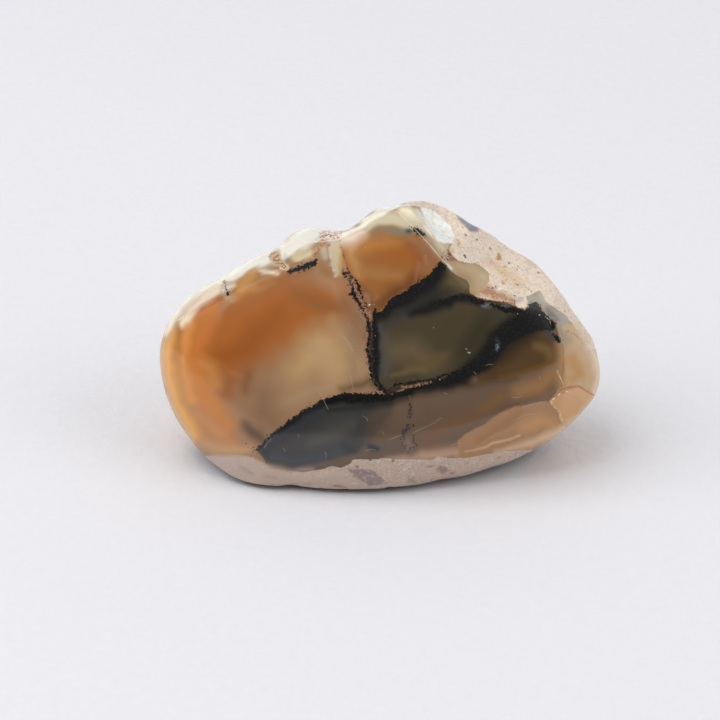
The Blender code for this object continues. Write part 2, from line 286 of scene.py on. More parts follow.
# Each coat of colour: its tint, how much of it goes on, how softly it ends in pixels, and where. The
# body is the amber and cream opal to the left of the veins, with its rim and the crest's left part.
BODY_GROUND = (164, 126, 94)
BODY_COATS = {
    "amber_body": (
        (172, 101, 42), 1, 20, ((205, 350, 34), (245, 325, 40), (290, 312, 34), (330, 300, 18)),
    ),
    "amber_left": ((210, 124, 54), 0.9, 12, ((193, 362, 8), (199, 338, 10), (212, 310, 6))),
    "orange_side": ((214, 136, 64), 0.9, 14, ((196, 378, 10), (206, 400, 14), (226, 425, 8))),
    "side_glow": ((212, 146, 84), 0.8, 9, ((200, 362, 5), (211, 368, 6), (214, 384, 6))),
    "amber_fall": ((168, 102, 58), 0.85, 8, ((226, 394, 6), (232, 380, 5))),
    "umber_fall": ((140, 86, 46), 0.8, 8, ((246, 390, 4), (248, 374, 5))),
    "deep_amber": (
        (158, 88, 32), 0.85, 14, ((226, 356, 8), (244, 350, 13), (258, 332, 12), (278, 314, 6)),
    ),
    "rosy_amber": ((184, 104, 42), 0.7, 8, ((226, 340, 6), (236, 326, 5))),
    "upper_ochre": ((162, 98, 42), 0.8, 8, ((228, 312, 3), (240, 304, 5), (262, 291, 6), (286, 281, 5))),
    "shoulder_lobe": ((190, 118, 46), 0.85, 6, ((192, 337, 5), (203, 321, 6), (214, 308, 5))),
    "below_notch": ((186, 128, 68), 0.8, 5, ((234, 298, 3), (250, 290, 4.5), (270, 282, 4))),
    "brown_top": ((150, 98, 54), 0.8, 9, ((294, 292, 5), (306, 300, 6), (322, 306, 6), (338, 308, 4))),
    "tan_top": ((184, 140, 102), 0.8, 9, ((322, 280, 4), (333, 284, 6), (338, 296, 3))),
    "cream_heart": ((200, 163, 112), 1, 24, ((296, 372, 8), (322, 350, 19), (342, 370, 14))),
    "cream_glow": ((190, 156, 118), 0.6, 14, ((318, 352, 8), (332, 364, 8))),
    "cream_heart_right": ((152, 125, 96), 0.8, 12, ((352, 336, 4), (356, 354, 6), (352, 376, 6))),
    "brown_beside_vein": ((146, 106, 72), 0.8, 8, ((344, 300, 4), (354, 316, 4), (362, 340, 2))),
    "shade_beside_vein": ((128, 100, 74), 0.7, 4, ((357, 314, 1), (364, 324, 1.5), (364, 336, 1))),
    "between_strands": (
        (50, 41, 35), 0.95, 0.9, ((369, 319, 1.6), (371, 336, 2.4), (371, 352, 2.4), (373, 370, 2.2)),
    ),
    "strands_foot": (
        (56, 42, 31), 0.95, 1, ((373, 370, 2.2), (378, 384, 3), (387, 391, 3.5), (398, 389, 3)),
    ),
    "umber_haze": ((142, 110, 84), 0.9, 16, ((264, 398, 6), (264, 412, 9), (272, 424, 6))),
    "tan_haze": ((180, 150, 114), 0.8, 12, ((290, 400, 5), (310, 393, 5), (330, 386, 4))),
    "shade_over_wave": (
        (74, 56, 38), 0.85, 7, ((342, 390, 2), (356, 386, 3), (368, 381, 3), (375, 388, 2)),
    ),
    "violet_haze": ((96, 70, 54), 0.95, 7, ((246, 426, 4), (256, 434, 6), (262, 440, 4))),
    "orange_foot": ((206, 137, 82), 0.9, 12, ((200, 418, 8), (212, 430, 9), (230, 442, 6))),
    "tan_foot": ((214, 168, 122), 0.8, 7, ((206, 444, 4), (222, 450, 4), (248, 450, 3))),
    "rosy_rim": ((234, 162, 88), 0.75, 7, ((190, 324, 3), (184, 345, 4), (183, 370, 5), (191, 400, 5))),
    "rim_glow": (
        (248, 178, 86), 0.95, 9,
        ((172, 332, 2), (167, 350, 5), (169, 375, 5), (177, 405, 5), (195, 436, 5)),
    ),
    "rim_edge": (
        (220, 182, 132), 0.6, 4, ((163, 350, 1), (166, 380, 1.5), (176, 412, 2), (192, 438, 2.5)),
    ),
    # Partly painted highlight: the shoulder's cream is lifted toward white where the polish catches the
    # light.
    "cream_shoulder_and_highlight": (
        (255, 246, 222), 0.95, 6,
        ((166, 334, 2), (174, 317, 4), (181, 305, 5), (194, 293, 5), (210, 285, 5), (226, 278, 5),
         (238, 271, 5)),
    ),
    # Painted reflection: a whitish veil of light on the polished shoulder.
    "shoulder_reflection": (
        (252, 232, 204), 0.9, 4.5,
        ((183, 325, 2.5), (187, 316, 4), (192, 309.5, 4), (198, 303.5, 4), (205, 297.5, 4),
         (218, 290.5, 4)),
    ),
    "shoulder_line": ((234, 202, 160), 0.8, 0.9, ((188, 312.6, 0.5), (197, 299.4, 0.5), (208, 290, 0.6))),
    "shoulder_spot": ((246, 238, 222), 0.8, 1.5, ((180, 319.5, 1.2), (183, 317, 1.2))),
    "rim_gold": ((202, 160, 98), 0.9, 3, ((165, 346, 2.5), (167, 340, 3), (171, 333, 2))),
    "cream_neck": ((208, 176, 146), 0.8, 4, ((225, 292, 3), (231, 299, 2))),
    # Painted reflection: the whitish tail of a veil of light below the neck.
    "neck_reflection": ((170, 130, 94), 0.8, 3, ((223, 307, 2), (228, 302, 3), (233, 296, 2))),
    "neck_reflection_low": ((170, 122, 84), 0.7, 3, ((217, 317, 1.5), (221, 310, 2))),
    "notch_blue": ((236, 224, 206), 0.9, 2.5, ((224, 290, 2), (229, 288, 3), (234, 286, 2.5))),
    # Partly painted highlight: the cream of the top-left rim and its crown is lifted where they catch the
    # light.
    "cream_rim_and_highlight": (
        (255, 251, 234), 1, 6,
        ((232, 274, 5), (250, 264, 6), (268, 257, 7), (290, 247, 9), (304, 238, 10)),
    ),
    "cream_crown_and_highlight": ((255, 251, 234), 0.95, 5, ((296, 240, 6), (312, 233, 7), (324, 232, 4))),
    "amber_notch": ((204, 150, 82), 0.95, 5, ((240, 287, 5), (250, 277, 4.5), (256, 271, 3))),
    "cream_sill": ((234, 218, 190), 0.9, 2.5, ((261, 271, 2), (270, 271.5, 2.5), (278, 273, 1.6))),
    "sill_shade": (
        (152, 100, 50), 0.8, 5, ((262, 284, 2), (280, 279, 2), (296, 275, 2.5), (310, 270, 2)),
    ),
    "sill_line": (
        (156, 118, 84), 0.7, 0.8,
        ((258.4, 280.7, 0.3), (266.5, 276.7, 0.4), (274, 273.2, 0.4), (280, 271, 0.3)),
    ),
    "left_of_dome": ((242, 234, 222), 0.7, 3, ((262, 256, 3), (270, 250, 2))),
    "dome_shade": ((216, 199, 160), 0.9, 3, ((297, 257.5, 4.5), (303, 255.5, 6), (309, 253, 4))),
    "dome_foot": ((142, 104, 54), 0.7, 2.5, ((289, 266, 0.8), (300, 262, 1), (310, 257, 0.8))),
    "dome_line": ((112, 84, 60), 0.8, 0.8, ((289, 265.5, 0.3), (300, 262.3, 0.4), (306, 261, 0.3))),
    "left_of_wedge": ((190, 172, 148), 0.9, 2.5, ((323, 248, 3), (325, 256, 3.5))),
    "below_left_of_wedge": ((160, 118, 70), 0.85, 4, ((321, 264, 4), (326, 273, 4))),
    # Partly painted highlight: the saddle's cream is lifted where it catches the light.
    "saddle_cream_and_highlight": (
        (254, 244, 236), 0.95, 3, ((322, 237, 4), (332, 234, 6), (342, 235, 4), (352, 229, 2)),
    ),
    "saddle_blue": ((226, 222, 224), 0.8, 2, ((317, 238, 1.6), (322, 235.5, 1.8))),
    "sandy_pockets": (
        (216, 190, 154), 0.9, 0.9,
        ((269, 257), (274, 249), (282, 247), (280, 252), (282, 259), (287, 265), (289, 270), (282, 271.5),
         (279, 268), (274, 265), (271, 261)),
    ),
    "pocket_blue": ((214, 216, 218), 0.8, 1.6, ((285, 254, 1.2), (286, 259, 1.2))),
    "sandy_pocket_right": (
        (194, 156, 116), 0.9, 1.5, ((312, 255, 1.8), (317, 249, 2.6), (323, 243, 2.2)),
    ),
    "vein_ground": ((188, 140, 108), 0.9, 1.4, ((341, 243, 1), (344, 259, 1.2), (347, 272, 2.4))),
    "wedge": (
        (200, 186, 156), 0.95, 1,
        ((329, 241), (339, 240.5), (341, 250), (340, 262), (338, 276), (335.5, 276)),
    ),
    "wedge_edge": ((236, 226, 206), 0.8, 0.6, ((328.5, 246, 0.2), (331.5, 258, 0.3), (335.4, 276, 0.4))),
    "wedge_glow": ((210, 170, 102), 0.9, 2, ((341, 250, 0.8), (341, 262, 1.2), (340, 275, 1))),
    "lower_vein_ground": (
        (168, 124, 96), 0.95, 1.4, ((347, 274, 2), (353, 288, 3), (360, 304, 3), (369, 320, 1.6)),
    ),
    # Painted reflections: faint veils of light on the polish over the left body and the cream heart.
    "low_reflection": ((206, 164, 118), 0.4, 8, ((196, 412, 2), (222, 436, 3))),
    "high_reflection": ((192, 122, 64), 0.35, 5, ((196, 354, 1.5), (218, 362, 1.5), (240, 376, 1.5))),
    "middle_reflection": ((198, 162, 114), 0.3, 7, ((330, 318, 2), (352, 350, 3), (360, 366, 2))),
}

# The amber pocket above the upper band, up to the crest.
UPPER_OUTLINE = (
    (340.5, 243), (344, 239), (354, 232), (369, 222), (384, 213), (398, 211), (411, 224), (430, 244),
    (441, 256), (443, 262), (437, 270), (431, 277), (424, 283), (415, 288), (401, 297), (392, 302),
    (386, 313), (376, 317), (371, 319), (365, 310), (359, 300), (353, 289), (349, 279), (345, 265),
)
UPPER_GROUND = (162, 104, 48)
UPPER_COATS = {
    "amber_core": ((168, 98, 38), 0.9, 10, ((384, 250, 8), (404, 254, 10), (420, 262, 5))),
    "glow": ((186, 122, 54), 0.9, 8, ((362, 250, 4), (378, 244, 5), (396, 243, 3))),
    "light_left": ((198, 150, 94), 0.85, 8, ((349, 250, 4), (354, 262, 4), (358, 274, 3))),
    "low_light": ((176, 124, 70), 0.8, 7, ((366, 272, 5), (384, 274, 5), (400, 276, 3))),
    "right_brown": ((150, 90, 48), 0.8, 8, ((410, 244, 3), (420, 256, 5), (416, 272, 4))),
    "umber": ((108, 65, 30), 0.95, 9, ((378, 306, 4), (390, 295, 6), (404, 287, 5), (418, 277, 4))),
    "brown_left": ((128, 90, 60), 0.8, 6, ((364, 290, 3), (371, 303, 5), (373, 312, 3))),
    "rosy": ((154, 108, 78), 0.85, 7, ((424, 249, 4), (434, 260, 4), (422, 270, 2.5))),
    "rosy_rise": ((164, 120, 94), 0.6, 5, ((412, 238, 2), (424, 246, 2))),
    "rosy_streak_left": ((178, 120, 84), 0.5, 1.5, ((418, 262, 1.2), (417, 279, 1.4))),
    "rosy_streak_right": ((184, 128, 98), 0.6, 1.4, ((426, 255, 1.2), (426.5, 263, 1.2))),
    "rosy_blob": ((166, 120, 92), 0.8, 1.8, ((366, 296.5, 3.2), (368, 300, 3.4))),
    "rosy_blob_right": ((162, 112, 80), 0.7, 1.4, ((377, 296, 1.8), (375, 300, 1.2))),
    # Painted reflection: a pinkish-white veil of light below the crest.
    "pink_reflection": ((240, 228, 212), 0.9, 7, ((343, 241, 4), (353, 237, 5), (362, 232, 4))),
    "pink_low": ((206, 166, 120), 0.7, 6, ((350, 248, 2), (360, 240, 3), (368, 236, 2))),
    "green_cream": (
        (203, 194, 163), 0.95, 4,
        ((368, 227, 3), (376, 221, 5), (390, 218, 6.5), (402, 220, 6), (412, 229, 3)),
    ),
    "grey_green": (
        (120, 125, 106), 0.95, 4, ((373, 231, 1.5), (388, 230, 3.4), (404, 231, 3), (411, 233, 2)),
    ),
    "green_fade": ((150, 113, 67), 0.7, 3, ((370, 238, 1), (390, 238.5, 1.2), (408, 239, 1))),
    "vein_ground": (
        (172, 126, 98), 0.95, 1.4,
        ((347, 272, 2), (350, 278, 2.6), (358, 294, 3), (366, 311, 2.6), (371, 320, 1.4)),
    ),
    "slate_spot": ((52, 68, 78), 0.95, 1.8, ((407.5, 231, 1.8), (411, 232.5, 1.4))),
}

# The olive chamber between the upper band, the strands and the wave.
OLIVE_OUTLINE = (
    (373, 323), (373, 309), (377, 313.5), (382, 311.5), (386, 306), (391, 299.5), (400, 294), (408, 289),
    (415, 284), (423, 279.5), (430, 274), (435, 268), (440, 261.5), (446, 264.5), (451, 271.5),
    (458, 276), (466, 280), (469, 285), (470, 293), (478, 298), (486, 300), (500, 302), (512, 304),
    (520, 309), (528, 312), (528, 322), (510, 335), (497, 350), (488, 360), (470, 369), (456, 375),
    (440, 380), (425, 382.5), (411, 385), (398, 387), (389, 392), (384, 391), (378, 383), (374.5, 374),
    (374, 350),
)
OLIVE_GROUND = (75, 64, 43)
OLIVE_COATS = {
    "light": ((108, 91, 63), 0.95, 14, ((392, 352, 9), (412, 350, 10), (430, 364, 6))),
    "khaki": ((101, 81, 48), 0.8, 8, ((408, 366, 4), (430, 362, 5), (448, 354, 4))),
    "grey": ((86, 79, 68), 0.8, 7, ((385, 332, 4), (387, 352, 4), (386, 374, 4))),
    "dark": ((53, 46, 27), 0.95, 13, ((486, 322, 9), (474, 340, 11), (462, 354, 7))),
    "bronze": ((74, 62, 36), 0.8, 8, ((444, 338, 6), (452, 322, 5), (464, 318, 4))),
    "gold_streak": ((116, 98, 60), 0.7, 3.5, ((393, 376, 1.5), (408, 371, 2.5), (424, 369, 2.5))),
    "slate_top": ((64, 58, 55), 0.95, 8, ((384, 326, 4), (394, 318, 6), (406, 312, 6), (416, 305, 4))),
    "between_bands": ((46, 43, 35), 0.95, 7, ((420, 302, 5), (434, 297, 6), (448, 292, 4))),
    "between_light": ((108, 90, 58), 0.9, 6, ((452, 281, 3), (460, 285, 4), (466, 291, 2))),
    "olive_edge": ((118, 93, 66), 0.8, 4, ((446, 269, 1.5), (456, 277, 2), (466, 284, 2))),
    "arc_shade": ((7, 8, 12), 0.95, 5, ((412, 313, 4), (422, 310, 6), (434, 306, 6), (448, 303, 5))),
    "arc_fade": (
        (14, 18, 18), 0.95, 3,
        ((438, 303.5, 2), (448, 301, 3.5), (458, 299, 4), (468, 299, 3.6), (482, 304, 3)),
    ),
    "band_fade": (
        (13, 12, 13), 1, 5,
        ((376, 318, 5), (383, 314, 6), (389, 307, 8), (394, 301, 11), (402, 296, 13), (409, 291, 14.5),
         (416, 286, 15), (425, 282, 14), (432, 276, 11), (437, 270, 9), (442, 265, 6)),
    ),
    "band_grey": ((40, 39, 37), 0.75, 6, ((396, 315, 2), (410, 307, 4), (424, 300, 5), (436, 293, 5))),
    "strand_fade": (
        (22, 23, 24), 1, 2.5,
        ((373, 311, 3), (374, 330, 5), (374.5, 350, 6), (374.5, 364, 5), (376, 376, 3)),
    ),
    "strand_blue": ((64, 75, 80), 0.7, 3, ((381, 326, 1), (382.5, 350, 1.4), (381, 372, 1))),
    "wave_fade": (
        (12, 11, 7), 1, 6,
        ((448, 379, 1), (460, 373, 4), (470, 366, 6), (480, 359, 7), (488, 350, 8), (496, 338, 9),
         (508, 328, 9), (520, 320, 9)),
    ),
    "blotch_grey": ((57, 54, 45), 0.8, 5, ((492, 312, 3), (502, 318, 3))),
    "blue_pocket_left": ((112, 120, 122), 0.85, 2, ((483, 306, 1.2), (489.5, 305, 2))),
    "blue_pocket_right": ((104, 110, 112), 0.8, 2, ((503, 305, 1.4), (508, 305.5, 1.8))),
}

# Everything under the wave: the grey lens at its left end, brown opal, and the tan facet at the lower
# right.
UNDER_OUTLINE = (
    (256, 450), (261, 445), (267, 438), (276, 431), (284, 426), (291, 420), (300, 413.5), (308, 408.5),
    (316, 404), (323, 400), (331, 397), (340, 395), (350, 393.5), (362, 393.5), (376, 394.5),
    (388, 394.5), (400, 392), (409, 388), (420, 385.5), (430, 383), (440, 379.5), (450, 376.5),
    (459, 372), (466, 367), (476, 361), (483, 357), (489, 350), (491, 342), (497, 334), (512, 324),
    (530, 316), (552, 320), (558, 330), (560, 343), (563, 357), (560.5, 384), (553, 398), (549, 401),
    (556, 410), (560, 421), (567, 429), (600, 480), (480, 520), (300, 520), (262, 480), (266, 461),
    (260, 455),
)
UNDER_GROUND = (112, 91, 74)
UNDER_COATS = {
    "grey_brown": ((107, 89, 73), 0.85, 12, ((376, 418, 8), (392, 430, 8), (384, 446, 5))),
    "soft_brown": ((124, 92, 66), 0.85, 10, ((424, 440, 8), (444, 428, 8), (466, 420, 8), (484, 414, 4))),
    "pink_brown": ((190, 144, 108), 0.75, 7, ((424, 454, 3), (452, 450, 4))),
    "umber_under_wave": ((16, 11, 6), 0.9, 7, ((414, 393, 2), (440, 389, 3), (466, 382, 4))),
    "umber_right": (
        (86, 62, 33), 1, 1.6,
        ((478, 383), (474, 372), (492, 358), (505, 343), (515, 334), (530, 329), (552, 331), (561, 346),
         (561, 357), (553, 363.5), (530, 371), (504, 377.5), (486, 381.5)),
    ),
    "umber_deep": ((48, 33, 14), 0.95, 8, ((488, 366, 4), (504, 354, 7), (518, 343, 6), (532, 336, 4))),
    "bronze_right": ((130, 100, 62), 0.8, 6, ((536, 346, 2), (548, 350, 3), (552, 362, 3))),
    "tan_right": ((166, 124, 82), 0.95, 10, ((518, 392, 6), (540, 386, 8), (552, 374, 6))),
    "tan_right_low": ((134, 97, 62), 0.8, 8, ((484, 408, 4), (500, 398, 6))),
    "gold_above": ((92, 66, 32), 0.8, 4, ((500, 370, 2), (520, 365, 3), (540, 358, 3))),
    "gold_edge": (
        (112, 78, 30), 0.85, 2.2, ((500, 376.5, 1), (520, 372.5, 2), (540, 367, 2.4), (553, 361, 2)),
    ),
    "fade_below_gold": ((84, 58, 28), 0.7, 5, ((470, 386, 3), (492, 382, 2.4), (516, 378, 2))),
    "low_tan": (
        (174, 130, 92), 1, 1,
        ((456, 449), (457, 441), (466, 434), (478, 427), (490, 420), (500, 413), (512, 408), (524, 405),
         (548, 401.5), (553, 404), (557, 411), (560, 421), (566, 430), (560, 450), (500, 470),
         (452, 470)),
    ),
    "low_tan_light": ((208, 154, 100), 0.8, 8, ((524, 428, 5), (540, 420, 6), (552, 424, 4))),
    "low_tan_brown": ((158, 110, 66), 0.7, 6, ((480, 440, 3), (500, 428, 3), (520, 412, 2))),
    "low_streak": ((186, 142, 98), 0.8, 1.5, ((476, 446, 0.5), (500, 434, 1), (524, 420, 0.6))),
    "low_streak_pale": ((242, 203, 158), 0.6, 1.5, ((466, 452, 0.5), (492, 444, 1), (520, 436, 0.8))),
    "cream_lip": (
        (222, 188, 152), 0.95, 5, ((496, 452, 1), (528, 444, 3.5), (552, 435, 4.5), (572, 424, 4.5)),
    ),
    "low_band_foot": (
        (202, 168, 140), 0.85, 5, ((388, 459, 1), (404, 458, 2), (430, 456, 3), (456, 453, 3)),
    ),
    "lens": (
        (68, 66, 64), 1, 4,
        ((254, 452), (262, 436), (290, 412), (325, 396), (360, 396), (392, 402), (388, 416), (372, 436),
         (360, 451), (337, 458), (311, 465), (293, 467), (272, 463)),
    ),
    "lens_light": ((86, 82, 77), 0.85, 8, ((312, 444, 5), (334, 434, 8), (350, 426, 5))),
    "lens_brown_end": ((94, 79, 67), 0.9, 10, ((374, 420, 6), (386, 410, 6), (368, 438, 4))),
    "lens_blue_foot": (
        (72, 76, 84), 0.85, 5, ((274, 458, 4), (296, 462, 4), (322, 457, 4), (342, 451, 2)),
    ),
    "lens_band": (
        (58, 58, 60), 0.95, 5,
        ((262, 452, 6), (268, 444, 8), (282, 434, 10), (300, 422, 10), (318, 411, 9), (332, 406, 6)),
    ),
    "lens_rim": (
        (36, 37, 37), 0.9, 2.5,
        ((258, 449, 1.5), (268, 438, 2.5), (285, 426, 3), (308, 410, 4), (331, 399, 5)),
    ),
    "lens_pale_line": ((96, 100, 104), 0.5, 1.2, ((262, 451, 0.5), (268, 442, 0.8), (276, 436, 0.5))),
    "lens_spot_left": ((55, 58, 65), 0.85, 3.5, ((343, 445, 3), (354, 451, 3))),
    "lens_spot_right": ((46, 57, 66), 0.9, 2.5, ((370, 446, 3.5), (377, 449, 3))),
    "lens_foot_shadow": ((110, 102, 96), 0.6, 3, ((300, 468, 1), (330, 463, 1))),
    "core_fade": (
        (6, 6, 6), 1, 3.5, ((331, 399, 4.5), (345, 397, 7), (362, 396, 8), (384, 396, 7), (408, 391, 6)),
    ),
    "core_grey": ((22, 29, 27), 0.7, 5, ((330, 410, 2), (350, 408, 3), (384, 405, 3), (408, 399, 2))),
    "wave_fade": (
        (13, 11, 11), 1, 3.5,
        ((410, 388, 4.4), (420, 386.5, 5), (430, 384.5, 6), (440, 381.5, 7.6), (450, 378, 8.6),
         (460, 373.5, 10), (470, 367, 11.5), (480, 361, 11.5), (488, 354, 11), (494, 345, 12),
         (502, 336, 12), (514, 328, 13), (534, 318, 14), (548, 321, 9)),
    ),
    "tail_blue": ((58, 62, 66), 0.95, 2, ((547, 332, 2.4), (552, 336.5, 2.6))),
    "left_of_lens": ((132, 104, 88), 0.7, 3, ((247, 444, 2), (255, 452, 2.5), (262, 458, 1.5))),
    "cream_under_lens": ((167, 151, 134), 0.9, 3, ((268, 465, 1), (286, 471, 1.6), (312, 470, 1.6))),
    "lower_vein": ((124, 92, 66), 0.7, 1, ((409.5, 393, 0.5), (410.3, 402, 0.6), (410, 412, 0.4))),
    "lower_vein_blue": ((60, 66, 74), 0.85, 1.4, ((409.5, 410, 1.4), (410, 417, 1))),
    "lower_vein_slate": ((62, 68, 78), 0.9, 1.4, ((408, 425, 1.4), (404.5, 431, 1.8), (403, 436, 1))),
    "lower_vein_pink": ((136, 110, 100), 0.75, 3, ((408, 441, 3), (410, 452, 4))),
    "right_fade": ((190, 148, 102), 1, 8, ((562, 344, 4), (565, 362, 6), (563, 384, 5))),
}

CHIP_OUTLINE = (
    (419, 206), (433, 208), (443, 217), (450, 226), (455, 235), (453, 243), (444, 244), (437, 240),
    (430, 230), (425, 217),
)

# What lies over or beyond the chambers: the crest's facet and chip, the patch, the shard and the right
# end.
PATCHES = {
    # Partly painted highlight: the crest's cream line is lifted toward white where it catches the light.
    "crest_cream_and_highlight": (
        (252, 244, 222), 1, 2.2,
        ((340, 239, 1), (354, 230, 2), (368, 220, 3), (384, 209, 4), (400, 204, 4)),
    ),
    "crest_facet": (
        (207, 193, 166), 1, 0.9,
        ((396, 209), (400, 204), (414, 207), (425, 218), (434, 236), (448, 250), (447, 263), (430, 245),
         (411, 225), (398, 212)),
    ),
    "crest_facet_low": ((167, 141, 104), 0.9, 5, ((424, 235, 2), (434, 247, 3), (443, 258, 3))),
    "crest_facet_rosy": ((156, 122, 98), 0.7, 4, ((421, 233, 1), (430, 243, 1.4), (436, 250, 1))),
    "crest_facet_cream": ((240, 232, 200), 0.9, 4, ((402, 209, 2), (412, 213, 4), (419, 221, 2))),
    "crest_facet_pale": ((252, 246, 230), 0.8, 3, ((419, 212, 2), (426, 222, 2.4), (431, 232, 1.6))),
    # Partly painted highlight: the chip's white, where the fresh fracture catches the light.
    "nacre": ((255, 253, 248), 1, 1.4, CHIP_OUTLINE),
    "nacre_pale": ((230, 226, 214), 0.9, 3, ((438, 234, 4), (446, 232, 4), (450, 238, 2))),
    "nacre_pink": ((218, 190, 176), 0.8, 1.4, ((434, 216, 1.2), (439, 219, 1.4))),
    "nacre_dark": ((140, 128, 122), 0.7, 1, ((431, 231, 0.5), (434, 234, 0.6))),
    "below_nacre": ((206, 196, 172), 0.9, 3, ((440, 244, 1.5), (448, 246, 2), (444, 252, 2))),
    "olive_patch": (
        (178, 153, 116), 1, 0.9,
        ((445, 260), (458, 262), (476, 262), (490, 272), (491, 282), (480, 294), (469, 295), (466, 284),
         (464, 279), (451, 272.5), (444, 266)),
    ),
    "patch_shade": ((159, 132, 84), 0.85, 5, ((460, 275, 1.5), (467, 279, 2.5), (472, 288, 3))),
    "patch_cream": ((193, 168, 134), 0.8, 5, ((460, 266, 2), (474, 270, 4), (484, 278, 3.5))),
    "patch_glint": ((226, 222, 214), 0.95, 1, ((448.5, 264, 0.7), (451, 268.5, 1.4))),
    "patch_smoke": ((96, 90, 84), 0.85, 2, ((444, 264, 1.6), (447, 268, 1.4))),
    "right_end": (
        (196, 160, 116), 1, 1,
        ((558, 326), (568, 322), (592, 330), (640, 340), (640, 400), (600, 400), (588, 391), (572, 388),
         (560, 392), (553, 398), (561, 384), (563, 357), (560, 343)),
    ),
    "right_start": ((148, 109, 71), 0.9, 6, ((560, 345, 2), (563, 362, 2.5), (561, 383, 2))),
    "right_pale": ((153, 135, 100), 0.85, 5, ((558, 330, 2), (568, 340, 4), (564, 348, 2))),
    "right_streak": ((128, 98, 68), 0.7, 1, ((560, 338, 0.5), (562.5, 347, 0.8), (563.5, 355, 0.4))),
    "right_honey": ((184, 130, 54), 0.95, 8, ((572, 358, 6), (578, 374, 7), (570, 380, 4))),
    "right_lip": ((228, 208, 180), 0.9, 5, ((588, 346, 3), (597, 360, 3), (598, 380, 3), (594, 394, 3))),
    "right_neck": ((190, 165, 128), 0.8, 3, ((562, 326, 1), (572, 334, 2), (584, 344, 2.5))),
    "flake": (
        (204, 158, 109), 1, 0.9,
        ((550, 401), (559, 394), (570, 389.5), (582, 388), (592, 393), (604, 398), (596, 420), (564, 434),
         (560, 421), (557, 411)),
    ),
    "flake_lip": ((221, 190, 168), 0.9, 5, ((597, 400, 3), (586, 413, 3.5), (570, 427, 4))),
    "flake_edge": (
        (190, 146, 96), 0.9, 0.9, ((549, 401, 0.3), (551, 403, 0.5), (556, 411, 0.6), (561, 422, 0.5)),
    ),
    "flake_edge_pale": (
        (232, 204, 166), 0.8, 0.7, ((551, 401.5, 0.3), (557.5, 410, 0.5), (562.5, 421, 0.5)),
    ),
    "grey_shard": (
        (168, 159, 143), 1, 0.8,
        ((526, 296), (534, 293), (540, 289), (544, 299), (556, 308), (568, 316), (570, 321), (566, 324),
         (558, 328), (556, 322), (546, 314), (538, 303), (528, 308)),
    ),
    "shard_slate": ((116, 117, 114), 0.8, 2.5, ((545, 308, 1.2), (552, 315, 2), (558, 320, 1.4))),
    "shard_pale": ((196, 188, 172), 0.7, 2, ((540, 293, 1), (545, 303, 1))),
    "beside_tail": ((156, 134, 108), 0.9, 2.5, ((560, 326, 1.6), (560, 333, 1.6), (564, 342, 2))),
}

MOSS_TINT = (9, 9, 10)
MOSS_TINTS = {
    "wave_rim": ((38, 39, 39), 0.9, 6, ((258, 450, 6), (280, 432, 8), (300, 416, 8), (318, 406, 5))),
    "pale_pocket": ((150, 160, 172), 0.8, 1.4, ((497.5, 345, 1), (498, 350, 1.3))),
    "blue_pocket": ((60, 66, 74), 0.8, 1.6, ((496, 339, 1.2), (499, 343, 1))),
    "vein_brown": ((74, 52, 36), 0.7, 2, ((343, 273, 3), (349, 276, 3))),
}

